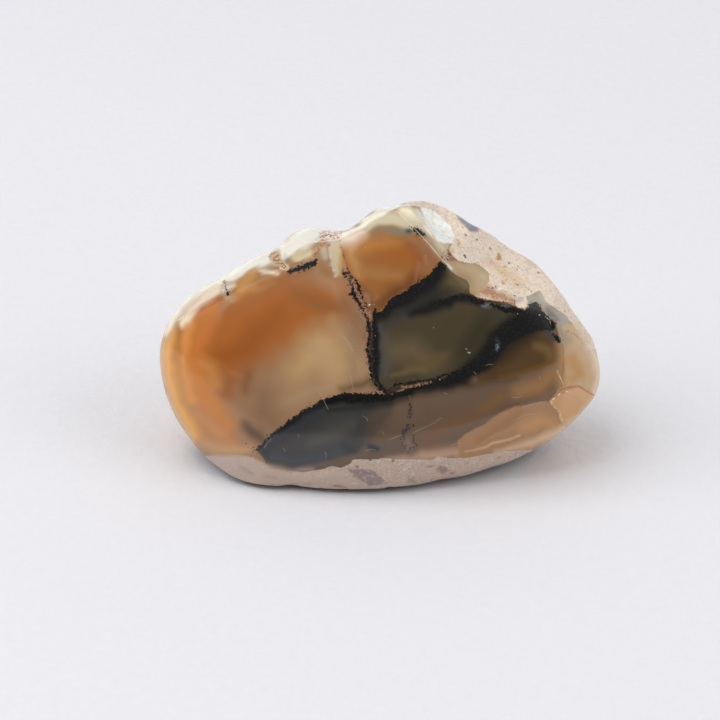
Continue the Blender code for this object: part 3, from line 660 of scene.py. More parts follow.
SANDSTONE_TINT = (232, 215, 196)
SANDSTONE_TINTS = {
    "foot": ((202, 179, 164), 1, 20, ((180, 470, 40), (300, 500, 45), (440, 490, 45), (560, 470, 40))),
    "foot_left": ((200, 180, 168), 0.8, 14, ((215, 464, 8), (240, 470, 8))),
    "foot_cream": ((220, 198, 180), 0.6, 6, ((266, 466, 2), (300, 476, 3), (330, 472, 3))),
    "peach": ((212, 178, 136), 0.7, 8, ((490, 262, 3), (506, 274, 5), (520, 284, 4))),
    "stain": ((166, 112, 62), 0.85, 5, ((472, 294, 2), (486, 290, 5), (500, 295, 4), (514, 301, 3))),
    "stain_orange": ((180, 115, 61), 0.75, 3, ((482, 290, 2), (492, 295, 2), (499, 298, 1.5))),
    "patch_rim": (
        (202, 158, 106), 0.7, 3, ((452, 250, 2), (449, 258, 3), (458, 262, 1.5), (486, 284, 2)),
    ),
    "crest_ochre": ((236, 204, 164), 0.7, 3, ((456, 217, 2), (464, 222, 2))),
    "slate_clast": (
        (143, 142, 154), 1, 0.6, ((456, 214), (466, 218), (480, 228), (478, 232), (470, 231), (461, 222)),
    ),
    "slate_clast_light": ((206, 206, 212), 0.6, 1.2, ((458, 215, 0.8), (468, 222, 0.8))),
    "tan_clast": ((200, 166, 128), 0.9, 0.6, ((456, 239), (460, 239), (460, 247), (458, 247))),
    "orange_clast": ((186, 128, 66), 0.95, 0.5, ((498, 253), (500, 253), (502, 260), (496, 260))),
    "orange_grain": ((196, 138, 76), 0.9, 0.5, ((504, 265), (507, 266), (505, 268), (503, 267))),
    "orange_grain_low": ((184, 120, 56), 0.95, 0.5, ((503, 280), (505, 284), (502, 284))),
    "orange_grain_right": ((196, 140, 84), 0.9, 0.5, ((527, 288), (530, 288), (529, 290))),
    "blue_stone": ((180, 178, 180), 0.8, 1, ((517, 297), (523, 297), (524, 302), (518, 302))),
    "white_sliver": ((250, 248, 244), 0.95, 0.6, ((497, 291, 0.5), (502, 287.5, 0.7))),
    "right_shoulder": ((216, 188, 152), 0.7, 5, ((576, 326, 3), (588, 342, 3))),
    "violet_clast": (
        (154, 136, 134), 0.95, 0.7, ((348, 469), (372, 470), (388, 484), (370, 486), (354, 476)),
    ),
    "violet_clast_rosy": ((164, 130, 122), 0.7, 1.2, ((349, 469), (368, 470), (370, 474), (350, 473))),
    "grey_wedge": ((166, 154, 143), 0.9, 0.7, ((331, 461), (351, 463), (338, 468), (334, 467))),
    "rosy_sliver": ((160, 124, 112), 0.8, 0.7, ((332, 485), (340, 485), (348, 489), (334, 487))),
    "grey_clast": ((160, 146, 136), 0.85, 0.8, ((409, 476), (413, 477), (417, 484), (407, 483))),
    "rosy_clast": (
        (152, 128, 120), 0.9, 0.6, ((440, 466), (446, 467), (449, 471), (442, 474), (436, 471)),
    ),
    "small_clast": ((148, 122, 110), 0.9, 0.5, ((451, 472), (455, 472), (453, 475), (450, 474))),
    "small_clast_left": ((166, 148, 137), 0.8, 0.6, ((425, 466), (433, 465), (432, 468), (426, 468))),
    "small_clast_right": ((148, 122, 106), 0.9, 0.5, ((497, 457), (501, 456), (500, 459), (497, 459))),
    "rosy_smear": ((194, 152, 140), 0.7, 1.5, ((268, 477, 1.2), (276, 478, 1.2))),
    "grey_smear": ((164, 154, 150), 0.6, 2, ((240, 467, 1.5), (252, 474, 1.8))),
}

# Single dark grains of the sandstone: x, y and radius.
DARK_GRAINS = (
    (464.5, 255.5, 1.4), (466, 257.5, 0.9), (509.5, 262.5, 1.2), (495.5, 287, 1.1), (492.5, 288, 1.2),
    (488.5, 287.5, 0.8), (487, 286, 0.6), (477, 239.5, 1.1), (466, 238, 0.7), (483, 237.5, 0.8),
    (517.5, 269.5, 0.9), (527.5, 270.5, 0.7), (531.5, 291.5, 1.1), (515, 295.5, 1.1), (511, 294, 0.7),
    (504.5, 295.5, 0.7), (514.5, 300.5, 0.8), (462.5, 227, 0.9), (474, 259, 0.6), (485, 259, 0.5),
    (500, 272, 0.5), (497, 278, 0.6), (507, 279.5, 0.6), (524, 273, 0.5), (533, 274, 0.5),
    (565, 311, 0.7), (575, 316, 0.6), (579.5, 322.5, 0.6), (578.5, 338, 0.9), (381, 478, 0.9),
    (431, 480, 0.7), (453, 474, 0.7), (393, 462, 0.5), (411, 470, 0.6), (470, 463, 0.5), (514, 455, 0.6),
    (505, 456, 0.5),
)

# Cracks, the painted highlights along the ridges, and the pale scratches and lint that lie on the polish.
CRACKS = {
    "main": (
        (547.5, 401, 0.4), (550, 399, 0.5), (553, 397.5, 0.7), (559, 391.5, 0.9), (562, 389.7, 1.1),
        (566, 388, 1.2), (571, 387, 1.3), (579, 386.5, 1.2), (582, 388, 1), (590, 393.5, 0.7),
        (598, 397, 0.4),
    ),
    "shoulder": ((567, 331, 0.2), (573, 334, 0.4), (578.5, 338, 0.3)),
}
RIDGE_HIGHLIGHTS = {
    "crest": (
        (339, 240, 0.6), (347, 235.5, 0.7), (354, 231.5, 0.8), (369, 221.5, 0.9), (384, 212.5, 0.9),
        (391, 210.5, 0.7), (398, 212, 0.6),
    ),
    "crest_to_patch": (
        (398, 212, 0.5), (411, 225, 0.8), (421, 235.5, 0.7), (430, 245, 0.7), (440, 257, 0.5),
        (447, 264, 0.4),
    ),
    "crest_bevel": (
        (399, 207, 0.3), (411, 211.5, 0.6), (419, 218, 0.7), (426, 228, 0.7), (431, 235, 0.6),
        (440, 243, 0.3),
    ),
    "saddle": ((313.6, 241.6, 0.8), (321, 242, 0.6), (331, 240, 0.6), (338, 240, 0.5), (343, 238, 0.5)),
    "chip_lip": ((436, 238, 0.4), (441, 241, 0.8), (447, 240, 0.7), (452, 237, 0.5)),
    "right_end": ((557, 371, 0.2), (561, 379, 0.4), (563, 384, 0.1)),
    "top_strands": ((440, 208, 0.3), (449, 217, 0.5), (456, 224, 0.3)),
}
GLINTS = {
    "crack_left": ((552.5, 399.5, 0.6), (555, 397.5, 0.5)),
    "crack_middle": ((558.5, 395, 0.9), (560, 393.8, 0.8)),
    "crack_right": ((566, 391.5, 0.6), (568, 392, 0.6)),
    "blotch_upper": ((545, 316.5, 0.2), (549, 319.5, 0.4)),
    "blotch_lower": ((550, 321, 0.2), (550.5, 325.5, 0.2)),
    "saddle_blob": ((313.5, 241.8, 0.7), (317.5, 241.8, 0.7)),
    "blotch_left": ((529, 320.5, 0.1), (531, 318.5, 0.2)),
    "blotch_dot": ((539, 315, 0.7), (540.5, 314.5, 0.4)),
    "pocket_dot": ((280.5, 268, 0.8), (281, 268, 0.8)),
    "vein_dot": ((369, 305, 0.8), (370.5, 304.5, 0.5)),
    "vein_dot_low": ((374, 305, 0.4), (374.5, 304.5, 0.4)),
    "olive_ring": ((465.5, 348, 0.5), (467, 349.5, 0.4)),
    "olive_ring_low": ((468, 352, 0.4), (469, 354, 0.6), (471, 352.5, 0.3)),
}
SCRATCHES = {
    "across_wave": ((319, 392, 0.3), (324, 401, 0.5), (328, 409, 0.3)),
    "beside_vein": ((350.5, 376, 0.4), (352, 384, 0.9), (354, 391, 0.4)),
    "upper_body": ((343, 336, 0.2), (350, 345, 0.4), (353, 351, 0.2)),
    "rim_mark": ((182, 356, 0.3), (183.5, 360, 0.5), (183, 363, 0.2)),
    "lens_hook": ((363, 416, 0.2), (366.5, 418, 0.5), (368, 421, 0.2)),
    "lens_lint": ((382, 432, 0.4), (384, 434, 0.6)),
    "lens_line": ((389, 440, 0.2), (396, 437, 0.4), (402, 435, 0.2)),
    "lens_light_line": ((264, 448, 0.3), (267, 443, 0.7), (271, 439, 0.6)),
    "lens_fleck": ((283, 448, 0.4), (285, 451, 0.5)),
    "lens_curl": ((325, 452, 0.3), (326.5, 455, 0.4), (326, 458, 0.3)),
    "lens_dot": ((298, 435, 0.5), (299, 436.5, 0.4)),
    "spot_glint": ((366, 451, 0.6), (371, 449, 0.8), (375, 450, 0.5)),
    "long_line": ((441, 418, 0.4), (434, 423, 0.3), (417, 431, 0.4), (413, 433, 0.3)),
    "right_line": ((523, 407, 0.2), (532, 404.5, 0.4), (539, 403, 0.6), (546, 401, 0.2)),
    "right_hook": ((517, 419, 0.3), (525, 414.5, 0.5), (535, 414, 0.3)),
    "right_lint": ((512, 397, 0.4), (516, 398, 0.8), (522, 396, 0.4)),
    "brown_lint": ((444, 393, 0.6), (447, 394, 0.5)),
    "tan_speck": ((539, 376.5, 0.6), (540.5, 379, 0.5)),
    "low_lint": ((452, 445, 0.3), (457, 443, 0.5), (460, 443, 0.3)),
    "wave_foot_lint": ((486, 365, 0.4), (490, 364, 0.7), (493, 365, 0.3)),
    "umber_lint": ((474, 372, 0.5), (476, 374, 0.3)),
}

# Where the foot's sandstone is polished smooth and seen through a skin of opal.
POLISHED = {
    "foot": (
        (185, 455), (215, 450), (258, 458), (300, 476), (345, 472), (350, 484), (330, 500), (190, 500),
    ),
}
# The crest's chip, whose white is partly nacre and partly a painted highlight.
NACRE_AND_HIGHLIGHT = {"chip": CHIP_OUTLINE}

# What is drawn only where the photograph shows it, and how deep below 0 a marking is out of sight.
FRONT_SHAPES = {
    "sprinkle": SPRINKLES,
    "sand": SAND,
    "crack": CRACKS,
    "ridge": RIDGE_HIGHLIGHTS,
    "glint": GLINTS,
    "scratch": SCRATCHES,
    "nacre": NACRE_AND_HIGHLIGHT,
    "polished": POLISHED,
}
OUT_OF_SIGHT = 12.0

# How far noise makes the drawn edges stray, in pixels: those of the moss, the dark opal and the tints.
MOSS_STRAY = 0.35
DARK_STRAY = 0.4
TINT_STRAY = 0.7

# Tints of the sides that the photograph doesn't show.
BACK_SANDSTONE_TINT = (206, 184, 162)
BACK_OPAL_LIGHT = (205, 150, 92)
BACK_OPAL_DARK = (128, 98, 64)
# Painted shade: the dark tint laid where the surface faces down, under the stone.
UNDERSIDE_SHADE_TINT = (50, 36, 29)

# How far down a part of the surface faces where the underside's painted shade starts and where it is
# full.
UNDERSIDE_SHADE_SLOPE = (0.80, 0.92)

# Relief in millimetres: the polish's waviness, how far the sandstone's grains rise, its pits sink and
# all of it lies lower, the crack's groove, and the ripples in the crest's chip.
POLISH_WAVE = 0.012
GRAIN_RISE = 0.022
PIT_DEPTH = 0.07
SANDSTONE_DROP = 0.03
CRACK_DEPTH = 0.09
RIPPLE_RISE = 0.05

# The ripples run round the u, v, w point where the crest was struck, this far apart in millimetres.
STRUCK_AT = (5.0, 20.5, 5.0)
RIPPLE_SPACING = 0.75

# How much wider than the chip's own ball the rippled part is, so that it reaches the chip's lip.
RIPPLE_REACH = 1.012

# How rough the polish is, and how much rougher sandstone, lint and sand make it.
POLISH_ROUGHNESS = 0.13
SANDSTONE_ROUGHNESS = 0.3
LINT_ROUGHNESS = 0.3
SAND_ROUGHNESS = 0.05

# Light that goes into the opal: its share, how deep it spreads in millimetres, and how much of that depth
# red, green and blue light reach.
GLOW_SHARE = 0.3
GLOW_DEPTH = 2.0
GLOW_BY_COLOUR = (1.0, 0.45, 0.2)

# Noises of the markings and the relief: each one's size in millimetres, its seed and how many waves it
# sums.
WAVES = {
    "window": (26.0, 11, 24),
    "window_edge": (7.0, 12, 24),
    "back_band": (22.0, 13, 24),
    "back_band_edge": (6.0, 14, 24),
    "back_glow": (18.0, 15, 24),
    "stray_across": (2.4, 31, 24),
    "stray_down": (2.4, 32, 24),
    "back_edge": (8.0, 33, 24),
    "polish": (7.0, 41, 24),
    "grains": (0.9, 42, 40),
    "lumps": (2.6, 43, 24),
    "pits": (1.7, 44, 40),
    "ripples": (2.0, 45, 24),
}

# Odd grains and specks of the sandstone: how much of the tint goes on, the size of the grains or of the
# cells that may hold a speck in millimetres, how rare they are, and the tint. A grain's chance fades it
# in from the first number to the second, and a speck stands in this share of the cells.
ODD_GRAINS = (
    (0.2, 0.33, (0.86, 0.9), (252, 246, 238)),
    (0.3, 0.26, (0.13, 0.1), (158, 120, 98)),
)
SPECKS = (
    (0.5, 0.8, 0.4, (140, 108, 92)),
    (0.7, 1.7, 0.25, (96, 80, 76)),
    (0.5, 1.9, 0.25, (200, 142, 84)),
)

# Sizes in millimetres of the grains of sand in the veins, the sandstone's grains, the moss's loose dots
# and the cells that each may hold a grain of dust.
VEIN_GRAIN = 0.24
SANDSTONE_GRAIN = 0.18
MOSS_DOT = 0.25
DUST_CELL = 1.9

# How far the moss's edges fray, in pixels, and the size of what frays them in millimetres, coarse and
# fine.
FRAY_REACH = 1.9
FRAY_SIZE = 0.4
FINE_FRAY_REACH = 0.7
FINE_FRAY_SIZE = 0.15

# Tints laid by the finish itself.
MOTTLE_TINT = (196, 158, 136)
DARK_GRAIN_TINT = (72, 66, 68)
MOSS_DOT_TINT = (34, 30, 27)
CRACK_TINT = (184, 116, 34)
# Painted highlights: the lines of light along the ridges.
RIDGE_HIGHLIGHT_TINT = (255, 250, 236)
LINT_TINT = (214, 206, 194)
GLINT_TINT = (248, 248, 244)

# The sand's grains by chance, from a few dark flecks to the many pale ones, and the chip's nacre and
# painted highlight by noise, from pinkish smears to white.
SAND_STOPS = (
    (0.0, (104, 84, 74)), (0.17, (136, 108, 94)), (0.22, (226, 200, 184)), (0.6, (248, 234, 224)),
    (1.0, (255, 255, 255)),
)
NACRE_AND_HIGHLIGHT_STOPS = (
    (0.25, (206, 186, 172)), (0.4, (236, 236, 224)), (0.55, (250, 251, 249)), (0.8, (255, 255, 255)),
)


def unit(vectors):
    """Vectors made one long."""
    vectors = np.asarray(vectors, dtype=float)
    return vectors / np.linalg.norm(vectors, axis=-1, keepdims=True)


def smooth_rise(value, low, high):
    """0 below low, 1 above high, and 3t^2 - 2t^3 between."""
    step = np.clip((value - low) / (high - low), 0.0, 1.0)
    return step * step * (3.0 - 2.0 * step)


def linear(tint):
    """A tint given as a screen shows it, 0 to 255, as linear light."""
    share = np.asarray(tint, dtype=float) / 255.0
    return np.where(share <= 0.04045, share / 12.92, ((share + 0.055) / 1.055) ** 2.4)


def waves(points, name):
    """Smooth noise that spreads about 1 either way: the sum of cosines along random directions, with
    wavelengths near the noise's size."""
    size, seed, count = WAVES[name]
    draw = np.random.default_rng(seed)
    ways = unit(draw.normal(size=(count, 3))).T
    turns = math.tau / (size * draw.uniform(0.7, 1.5, count))
    starts = draw.uniform(0.0, math.tau, count)
    return np.cos(points @ (ways * turns) + starts).sum(axis=1) * math.sqrt(2.0 / count)


def outline_radius(angle, easing):
    """The outline's distance from the heart at each angle: its points joined in steps of a degree, each
    step then made a quarter of each neighbour and half of itself, as often as easing says."""
    points = np.array(OUTLINE)
    at = np.arctan2(points[:, 1], points[:, 0])
    order = np.argsort(at)
    degrees = np.arange(360)
    reach = np.hypot(*points[order].T)
    radius = np.interp(np.radians(degrees - 180.0), at[order], reach, period=math.tau)
    for _ in range(easing):
        radius = 0.25 * np.roll(radius, 1) + 0.5 * radius + 0.25 * np.roll(radius, -1)
    return np.interp(np.degrees(angle) + 180.0, degrees, radius, period=360.0)


def body_closeness(way):
    """One over the distance to the crowned body, a superellipse in depth: the fullness-th root of
    (distance across over the outline's) to the fullness plus (depth over the half depth) to the same."""
    across = np.hypot(way[:, 0], way[:, 1])
    angle = np.arctan2(way[:, 1], way[:, 0])
    depth = np.where(way[:, 2] > 0.0, FRONT_DEPTH, BACK_DEPTH)
    fullness = FULLNESS + FULLER_RIGHT * np.cos(angle) + FULLER_TOP * np.sin(angle)
    fullness -= FULLER_UPRIGHT * np.cos(2.0 * angle)
    rim = smooth_rise(across, *RIM_BAND)
    outline = rim * outline_radius(angle, RIM_EASING) + (1.0 - rim) * outline_radius(angle, FACE_EASING)
    flat = across / outline
    return (flat**fullness + np.abs(way[:, 2] / depth) ** fullness) ** (1.0 / fullness)


def ball_exit(way, centre, radius):
    """Where a ray from inside a ball leaves it: the centre's distance along the ray, plus the root of
    that squared plus the radius squared less the centre's own distance squared."""
    along = way @ centre
    return along + np.sqrt(along**2 + radius**2 - centre @ centre)


def ball_entry(way, centre, radius):
    """Where a ray from outside a ball meets it, the same with the root taken off, or infinitely far
    off."""
    along = way @ centre
    reach = along**2 + radius**2 - centre @ centre
    met = (reach > 0.0) & (along > 0.0)
    return np.where(met, along - np.sqrt(np.maximum(reach, 0.0)), np.inf)


def nearer(closeness, other, crisp):
    """The nearer of two surfaces, with the edge between them eased: the crisp-th root of the sum of both
    to the crisp."""
    near = np.maximum(closeness, other)
    far = np.minimum(closeness, other)
    return near * (1.0 + (far / near) ** crisp) ** (1.0 / crisp)


def facet_closeness(way, point, outward, crown):
    """One over the distance to a facet, which is the far side of a ball of the crown's radius."""
    return 1.0 / ball_exit(way, np.array(point) - crown * unit(outward), crown)


def stone_radius(way):
    """Distance from the heart to the surface along each unit direction: the crowned body, cut by each
    facet's ball, the valley's farther ball, each chip's ball and the flat that the stone stands on."""
    closeness = body_closeness(way)
    for point, outward, crown, crisp in FACETS.values():
        closeness = nearer(closeness, facet_closeness(way, point, outward, crown), crisp * FINER_EDGES)
    one_side, other_side = [facet_closeness(way, *facet) for facet in VALLEY.values()]
    valley = 1.0 / nearer(1.0 / one_side, 1.0 / other_side, VALLEY_CRISPNESS)
    closeness = nearer(closeness, valley, VALLEY_CRISPNESS)
    for centre, size in CHIPS.values():
        closeness = nearer(closeness, 1.0 / ball_entry(way, np.array(centre), size), CHIP_CRISPNESS)
    down = np.maximum(-(way @ FACE_AXES)[:, 2], 1e-9)
    return 1.0 / nearer(closeness, down / HEART_HEIGHT, BASE_CRISPNESS)


def folded_square(cells):
    """Directions from a square grid folded round a ball, as paper round an octahedron.

    A grid point (a, b) from -1 to 1 gives (a, b, 1 - |a| - |b|), and where the last is below 0 the first
    two fold to 1 - |b| and 1 - |a| with their signs. The angle from the face's axis, as a share of half
    a turn, is then raised to FACE_FAVOUR, so that the face gets more of the grid than the back.
    """
    side = np.linspace(-1.0, 1.0, cells + 1)
    a, b = np.meshgrid(side, side, indexing="ij")
    rise = 1.0 - np.abs(a) - np.abs(b)
    fold_a = np.where(rise < 0.0, (1.0 - np.abs(b)) * np.where(a < 0.0, -1.0, 1.0), a)
    fold_b = np.where(rise < 0.0, (1.0 - np.abs(a)) * np.where(b < 0.0, -1.0, 1.0), b)
    way = unit(np.stack([fold_a, fold_b, rise], axis=-1).reshape(-1, 3))
    turn = math.pi * (np.arccos(np.clip(way[:, 2], -1.0, 1.0)) / math.pi) ** FACE_FAVOUR
    round_angle = np.arctan2(way[:, 1], way[:, 0])
    across = np.sin(turn)
    even = np.stack([across * np.cos(round_angle), across * np.sin(round_angle), np.cos(turn)], axis=1)
    return unit(even * GRID_SPREAD)


def folded_faces(cells):
    """Triangles of the folded square, and which grid points they use.

    Points mirrored about the middle of an edge are one point, and the four corners are one. Each cell is
    split along the diagonal that runs with the fold.
    """
    number = np.arange((cells + 1) ** 2).reshape(cells + 1, cells + 1)
    for edge in (0, cells):
        number[edge] = np.minimum(number[edge], number[edge, ::-1])
        number[:, edge] = np.minimum(number[:, edge], number[::-1, edge])
    number[[0, 0, -1, -1], [0, -1, 0, -1]] = 0
    low, right, top, far = number[:-1, :-1], number[1:, :-1], number[:-1, 1:], number[1:, 1:]
    half = np.arange(cells) < cells // 2
    with_fold = (half[:, None] == half[None, :])[..., None]
    one = np.where(with_fold, np.stack([low, right, top], -1), np.stack([low, right, far], -1))
    two = np.where(with_fold, np.stack([right, far, top], -1), np.stack([low, far, top], -1))
    used, faces = np.unique(np.concatenate([one, two]).reshape(-1, 3), return_inverse=True)
    return used, faces.reshape(-1, 3)


def picture_place(points):
    """The pixel of the photograph at which each u, v, w point shows, by the camera's perspective."""
    grow = CAMERA_DISTANCE / (CAMERA_DISTANCE - points[:, 2]) / MM_PER_PIXEL
    right = FRAME_PIXELS / 2.0 + (points[:, 0] - VIEW_AXIS[0]) * grow
    down = FRAME_PIXELS / 2.0 - (points[:, 1] - VIEW_AXIS[1]) * grow
    return np.stack([right, down], axis=1)


def stroke_depth(place, stroke):
    """How far inside a stroke each place lies: the line's half width at the nearest point of each of
    its steps, less the distance to that point, and the most of all steps."""
    depth = np.full(len(place), -1e3)
    for start, end in zip(stroke[:-1], stroke[1:]):
        step = end[:2] - start[:2]
        along = np.clip((place - start[:2]) @ step / (step @ step), 0.0, 1.0)
        gap = np.hypot(*(place - start[:2] - along[:, None] * step).T)
        depth = np.maximum(depth, start[2] + (end[2] - start[2]) * along - gap)
    return depth


def region_depth(place, corners):
    """How far inside a closed region each place lies: the distance to its outline, below 0 outside it,
    which is where a line to the right crosses the outline an even number of times."""
    ring = np.vstack([corners, corners[:1]])
    gap = -stroke_depth(place, np.column_stack([ring, np.zeros(len(ring))]))
    inside = np.zeros(len(place), dtype=bool)
    for (x0, y0), (x1, y1) in zip(ring[:-1], ring[1:]):
        between = (place[:, 1] < y0) != (place[:, 1] < y1)
        crossing = x0 + (place[:, 1] - y0) * (x1 - x0) / (y1 - y0 if y1 != y0 else 1.0)
        inside ^= between & (place[:, 0] < crossing)
    return np.where(inside, gap, -gap)


def line_offset(place, strokes):
    """The distance to the nearest stroke's line, below 0 on its left side. Unlike a depth it runs
    straight through the line, so that a line thinner than the grid's cells stays whole."""
    offset = np.full(len(place), 1e3)
    for stroke in strokes.values():
        points = np.array(stroke)[:, :2]
        for start, step in zip(points[:-1], np.diff(points, axis=0)):
            away = place - start
            along = np.clip(away @ step / (step @ step), 0.0, 1.0)
            gap = np.hypot(*(away - along[:, None] * step).T)
            side = np.where(step[0] * away[:, 1] - step[1] * away[:, 0] < 0.0, -1.0, 1.0)
            offset = np.where(gap < np.abs(offset), side * gap, offset)
    return offset


def shape_depth(place, shape):
    """How far inside a stroke or a region each place lies, in pixels."""
    shape = np.array(shape, dtype=float)
    return stroke_depth(place, shape) if shape.shape[1] == 3 else region_depth(place, shape)


def shapes_depth(place, shapes):
    """How far inside the nearest of several shapes each place lies."""
    return np.max([shape_depth(place, shape) for shape in shapes.values()], axis=0)


def laid(below, above, cover):
    """One tint laid over another where the cover is 1."""
    return below + cover[:, None] * (above - below)


def painted(place, ground, coats):
    """The ground tint with each coat laid over it in turn, its edge as soft as the coat says."""
    tints = np.tile(linear(ground), (len(place), 1)) if np.ndim(ground) == 1 else ground
    for tint, strength, softness, shape in coats.values():
        cover = strength * smooth_rise(shape_depth(place, shape), -softness, softness)
        tints = laid(tints, linear(tint), cover)
    return tints


def light_opal(place):
    """The tint of the body and, inside its outline, of the upper pocket, with the patches over both."""
    cover = smooth_rise(shape_depth(place, UPPER_OUTLINE), -0.8, 0.8)
    body_tints = painted(place, BODY_GROUND, BODY_COATS)
    upper_tints = painted(place, UPPER_GROUND, UPPER_COATS)
    return painted(place, laid(body_tints, upper_tints, cover), PATCHES)


def dark_opal(place):
    """How far inside the olive chamber or the opal under the wave each place lies, and the tint there."""
    olive = shape_depth(place, OLIVE_OUTLINE)
    under = shape_depth(place, UNDER_OUTLINE)
    share = smooth_rise(under - olive, -1.0, 1.0)
    olive_tints = painted(place, OLIVE_GROUND, OLIVE_COATS)
    under_tints = painted(place, UNDER_GROUND, UNDER_COATS)
    return np.maximum(olive, under), laid(olive_tints, under_tints, share)


def grains_depth(place, grains):
    """How far inside the nearest of several round grains each place lies."""
    return np.max([size - np.hypot(place[:, 0] - x, place[:, 1] - y) for x, y, size in grains], axis=0)


def back_markings(points):
    """The side that the photograph doesn't show: sandstone where a wide noise is below 0.55, windows of
    opal elsewhere, and moss in those along the line where another noise is 0."""
    window = waves(points, "window")
    sandstone = 6.0 * (0.55 - window) + 2.0 * waves(points, "window_edge")
    band = np.abs(waves(points, "back_band") + 0.25 * waves(points, "back_band_edge"))
    moss = np.minimum(3.0 - 26.0 * band, 4.0 * (window - 0.7))
    glow = smooth_rise(waves(points, "back_glow"), -1.0, 1.0)[:, None]
    opal = glow * linear(BACK_OPAL_LIGHT) + (1.0 - glow) * linear(BACK_OPAL_DARK)
    return sandstone, moss, opal


def markings(points):
    """Every marking at each point of the surface, by name: how far inside it the point lies or how far
    beside a line, in pixels, or its tint."""
    place = picture_place(points)
    stray = np.stack([waves(points, "stray_across"), waves(points, "stray_down")], axis=1)
    behind = smooth_rise(-(points[:, 2] + 1.2 * waves(points, "back_edge")), BACK_STARTS, BACK_FULL)
    back_sandstone, back_moss, back_opal = back_markings(points)
    dark, dark_tints = dark_opal(place + DARK_STRAY * stray)
    fields = {
        "moss": shapes_depth(place + MOSS_STRAY * stray, MOSS) * (1.0 - behind) + back_moss * behind,
        "sandstone": shapes_depth(place, SANDSTONE) * (1.0 - behind) + back_sandstone * behind,
        "dark": dark - OUT_OF_SIGHT * behind,
        "grain": grains_depth(place, DARK_GRAINS) - OUT_OF_SIGHT * behind,
    }
    for name, shapes in FRONT_SHAPES.items():
        fields[name] = shapes_depth(place, shapes) - OUT_OF_SIGHT * behind
    for name, strokes in {"ridge_line": RIDGE_HIGHLIGHTS, "scratch_line": SCRATCHES}.items():
        fields[name] = line_offset(place, strokes)
    for name in fields:
        fields[name] = np.clip(fields[name], -OUT_OF_SIGHT, OUT_OF_SIGHT)
    fields["opal_tint"] = laid(light_opal(place + TINT_STRAY * stray), back_opal, behind)
    fields["dark_tint"] = dark_tints
    fields["moss_tint"] = painted(place, MOSS_TINT, MOSS_TINTS)
    sandstone_tints = painted(place, SANDSTONE_TINT, SANDSTONE_TINTS)
    fields["sandstone_tint"] = laid(sandstone_tints, linear(BACK_SANDSTONE_TINT), behind)
    return fields


def relief(points, fields):
    """How far each point stands out of the polished form, in millimetres: a faint waviness of the hand
    polish, pits and grains where the sandstone shows, ripples in the crest's chip, and the crack's
    groove."""
    sandstone = smooth_rise(fields["sandstone"], -0.6, 0.6)
    height = POLISH_WAVE * waves(points, "polish") * (1.0 - sandstone)
    grains = 0.6 * waves(points, "grains") + 0.5 * waves(points, "lumps")
    pits = np.minimum(waves(points, "pits") + 0.9, 0.0)
    height += sandstone * (GRAIN_RISE * grains + PIT_DEPTH * pits - SANDSTONE_DROP)
    height -= CRACK_DEPTH * smooth_rise(fields["crack"], -0.8, 0.4)
    return height + RIPPLE_RISE * chip_ripples(points)


def chip_ripples(points):
    """Conchoidal ripples: a cosine of the distance from where the crest was struck, inside its chip."""
    centre, size = CHIPS["crest_chip"]
    inside = smooth_rise(size * RIPPLE_REACH - np.linalg.norm(points - centre, axis=1), -0.1, 0.1)
    reach = np.linalg.norm(points - np.array(STRUCK_AT), axis=1)
    return inside * np.cos(math.tau * reach / RIPPLE_SPACING + 0.8 * waves(points, "ripples"))


def onto_solid(stood):
    """What moves the surface, once stood up and in metres, to where its solid is: middle over middle, and
    flat on flat."""
    middle = (np.array(solid_box[0]) + np.array(solid_box[1])) / 2.0
    shift = middle - MM * (stood.min(axis=0) + stood.max(axis=0)) / 2.0
    shift[2] = solid_box[0][2] + MM * HEART_HEIGHT
    return shift


def add_marking(mesh, name, values):
    """Stores a marking at the surface's points, as a number or a colour."""
    if values.ndim == 1:
        layer = mesh.attributes.new(name, "FLOAT", "POINT")
        layer.data.foreach_set("value", values.astype(np.float32))
        return
    layer = mesh.attributes.new(name, "FLOAT_COLOR", "POINT")
    rgba = np.column_stack([values, np.ones(len(values))])
    layer.data.foreach_set("color", rgba.astype(np.float32).ravel())


def stone_mesh():
    """The stone's surface in metres, standing as its solid does, with its markings as attributes, and how
    far it was moved."""
    used, faces = folded_faces(GRID_CELLS)
    way = folded_square(GRID_CELLS)[used]
    reach = stone_radius(way)
    points = way * reach[:, None]
    fields = markings(points)
    raised = way * (reach + relief(points, fields))[:, None]
    stood = raised @ FACE_AXES
    stood[:, 2] = np.maximum(stood[:, 2], -HEART_HEIGHT)
    shift = onto_solid(stood)
    mesh = bpy.data.meshes.new("dendritic_opal_surface")
    mesh.from_pydata((stood * MM + shift).tolist(), [], faces.tolist())
    mesh.shade_smooth()
    outwards = np.empty(stood.size, dtype=np.float32)
    mesh.vertex_normals.foreach_get("vector", outwards)
    # Painted shade: how far each point faces down, for the dark tint laid under the stone.
    fields["underneath"] = smooth_rise(-outwards.reshape(-1, 3)[:, 2], *UNDERSIDE_SHADE_SLOPE)
    for name, values in fields.items():
        add_marking(mesh, name, values)
    return mesh, shift


class Value:
    """A node socket's number or colour. Arithmetic on it adds Math nodes."""

    def __init__(self, finish, socket):
        self.finish = finish
        self.socket = socket

    def math(self, operation, *values):
        return self.finish.node("ShaderNodeMath", {"operation": operation}, dict(enumerate(values)))

    def __add__(self, other):
        return self.math("ADD", self, other)

    def __sub__(self, other):
        return self.math("SUBTRACT", self, other)

    def __rsub__(self, other):
        return self.math("SUBTRACT", other, self)

    def __mul__(self, other):
        return self.math("MULTIPLY", self, other)

    __radd__ = __add__
    __rmul__ = __mul__


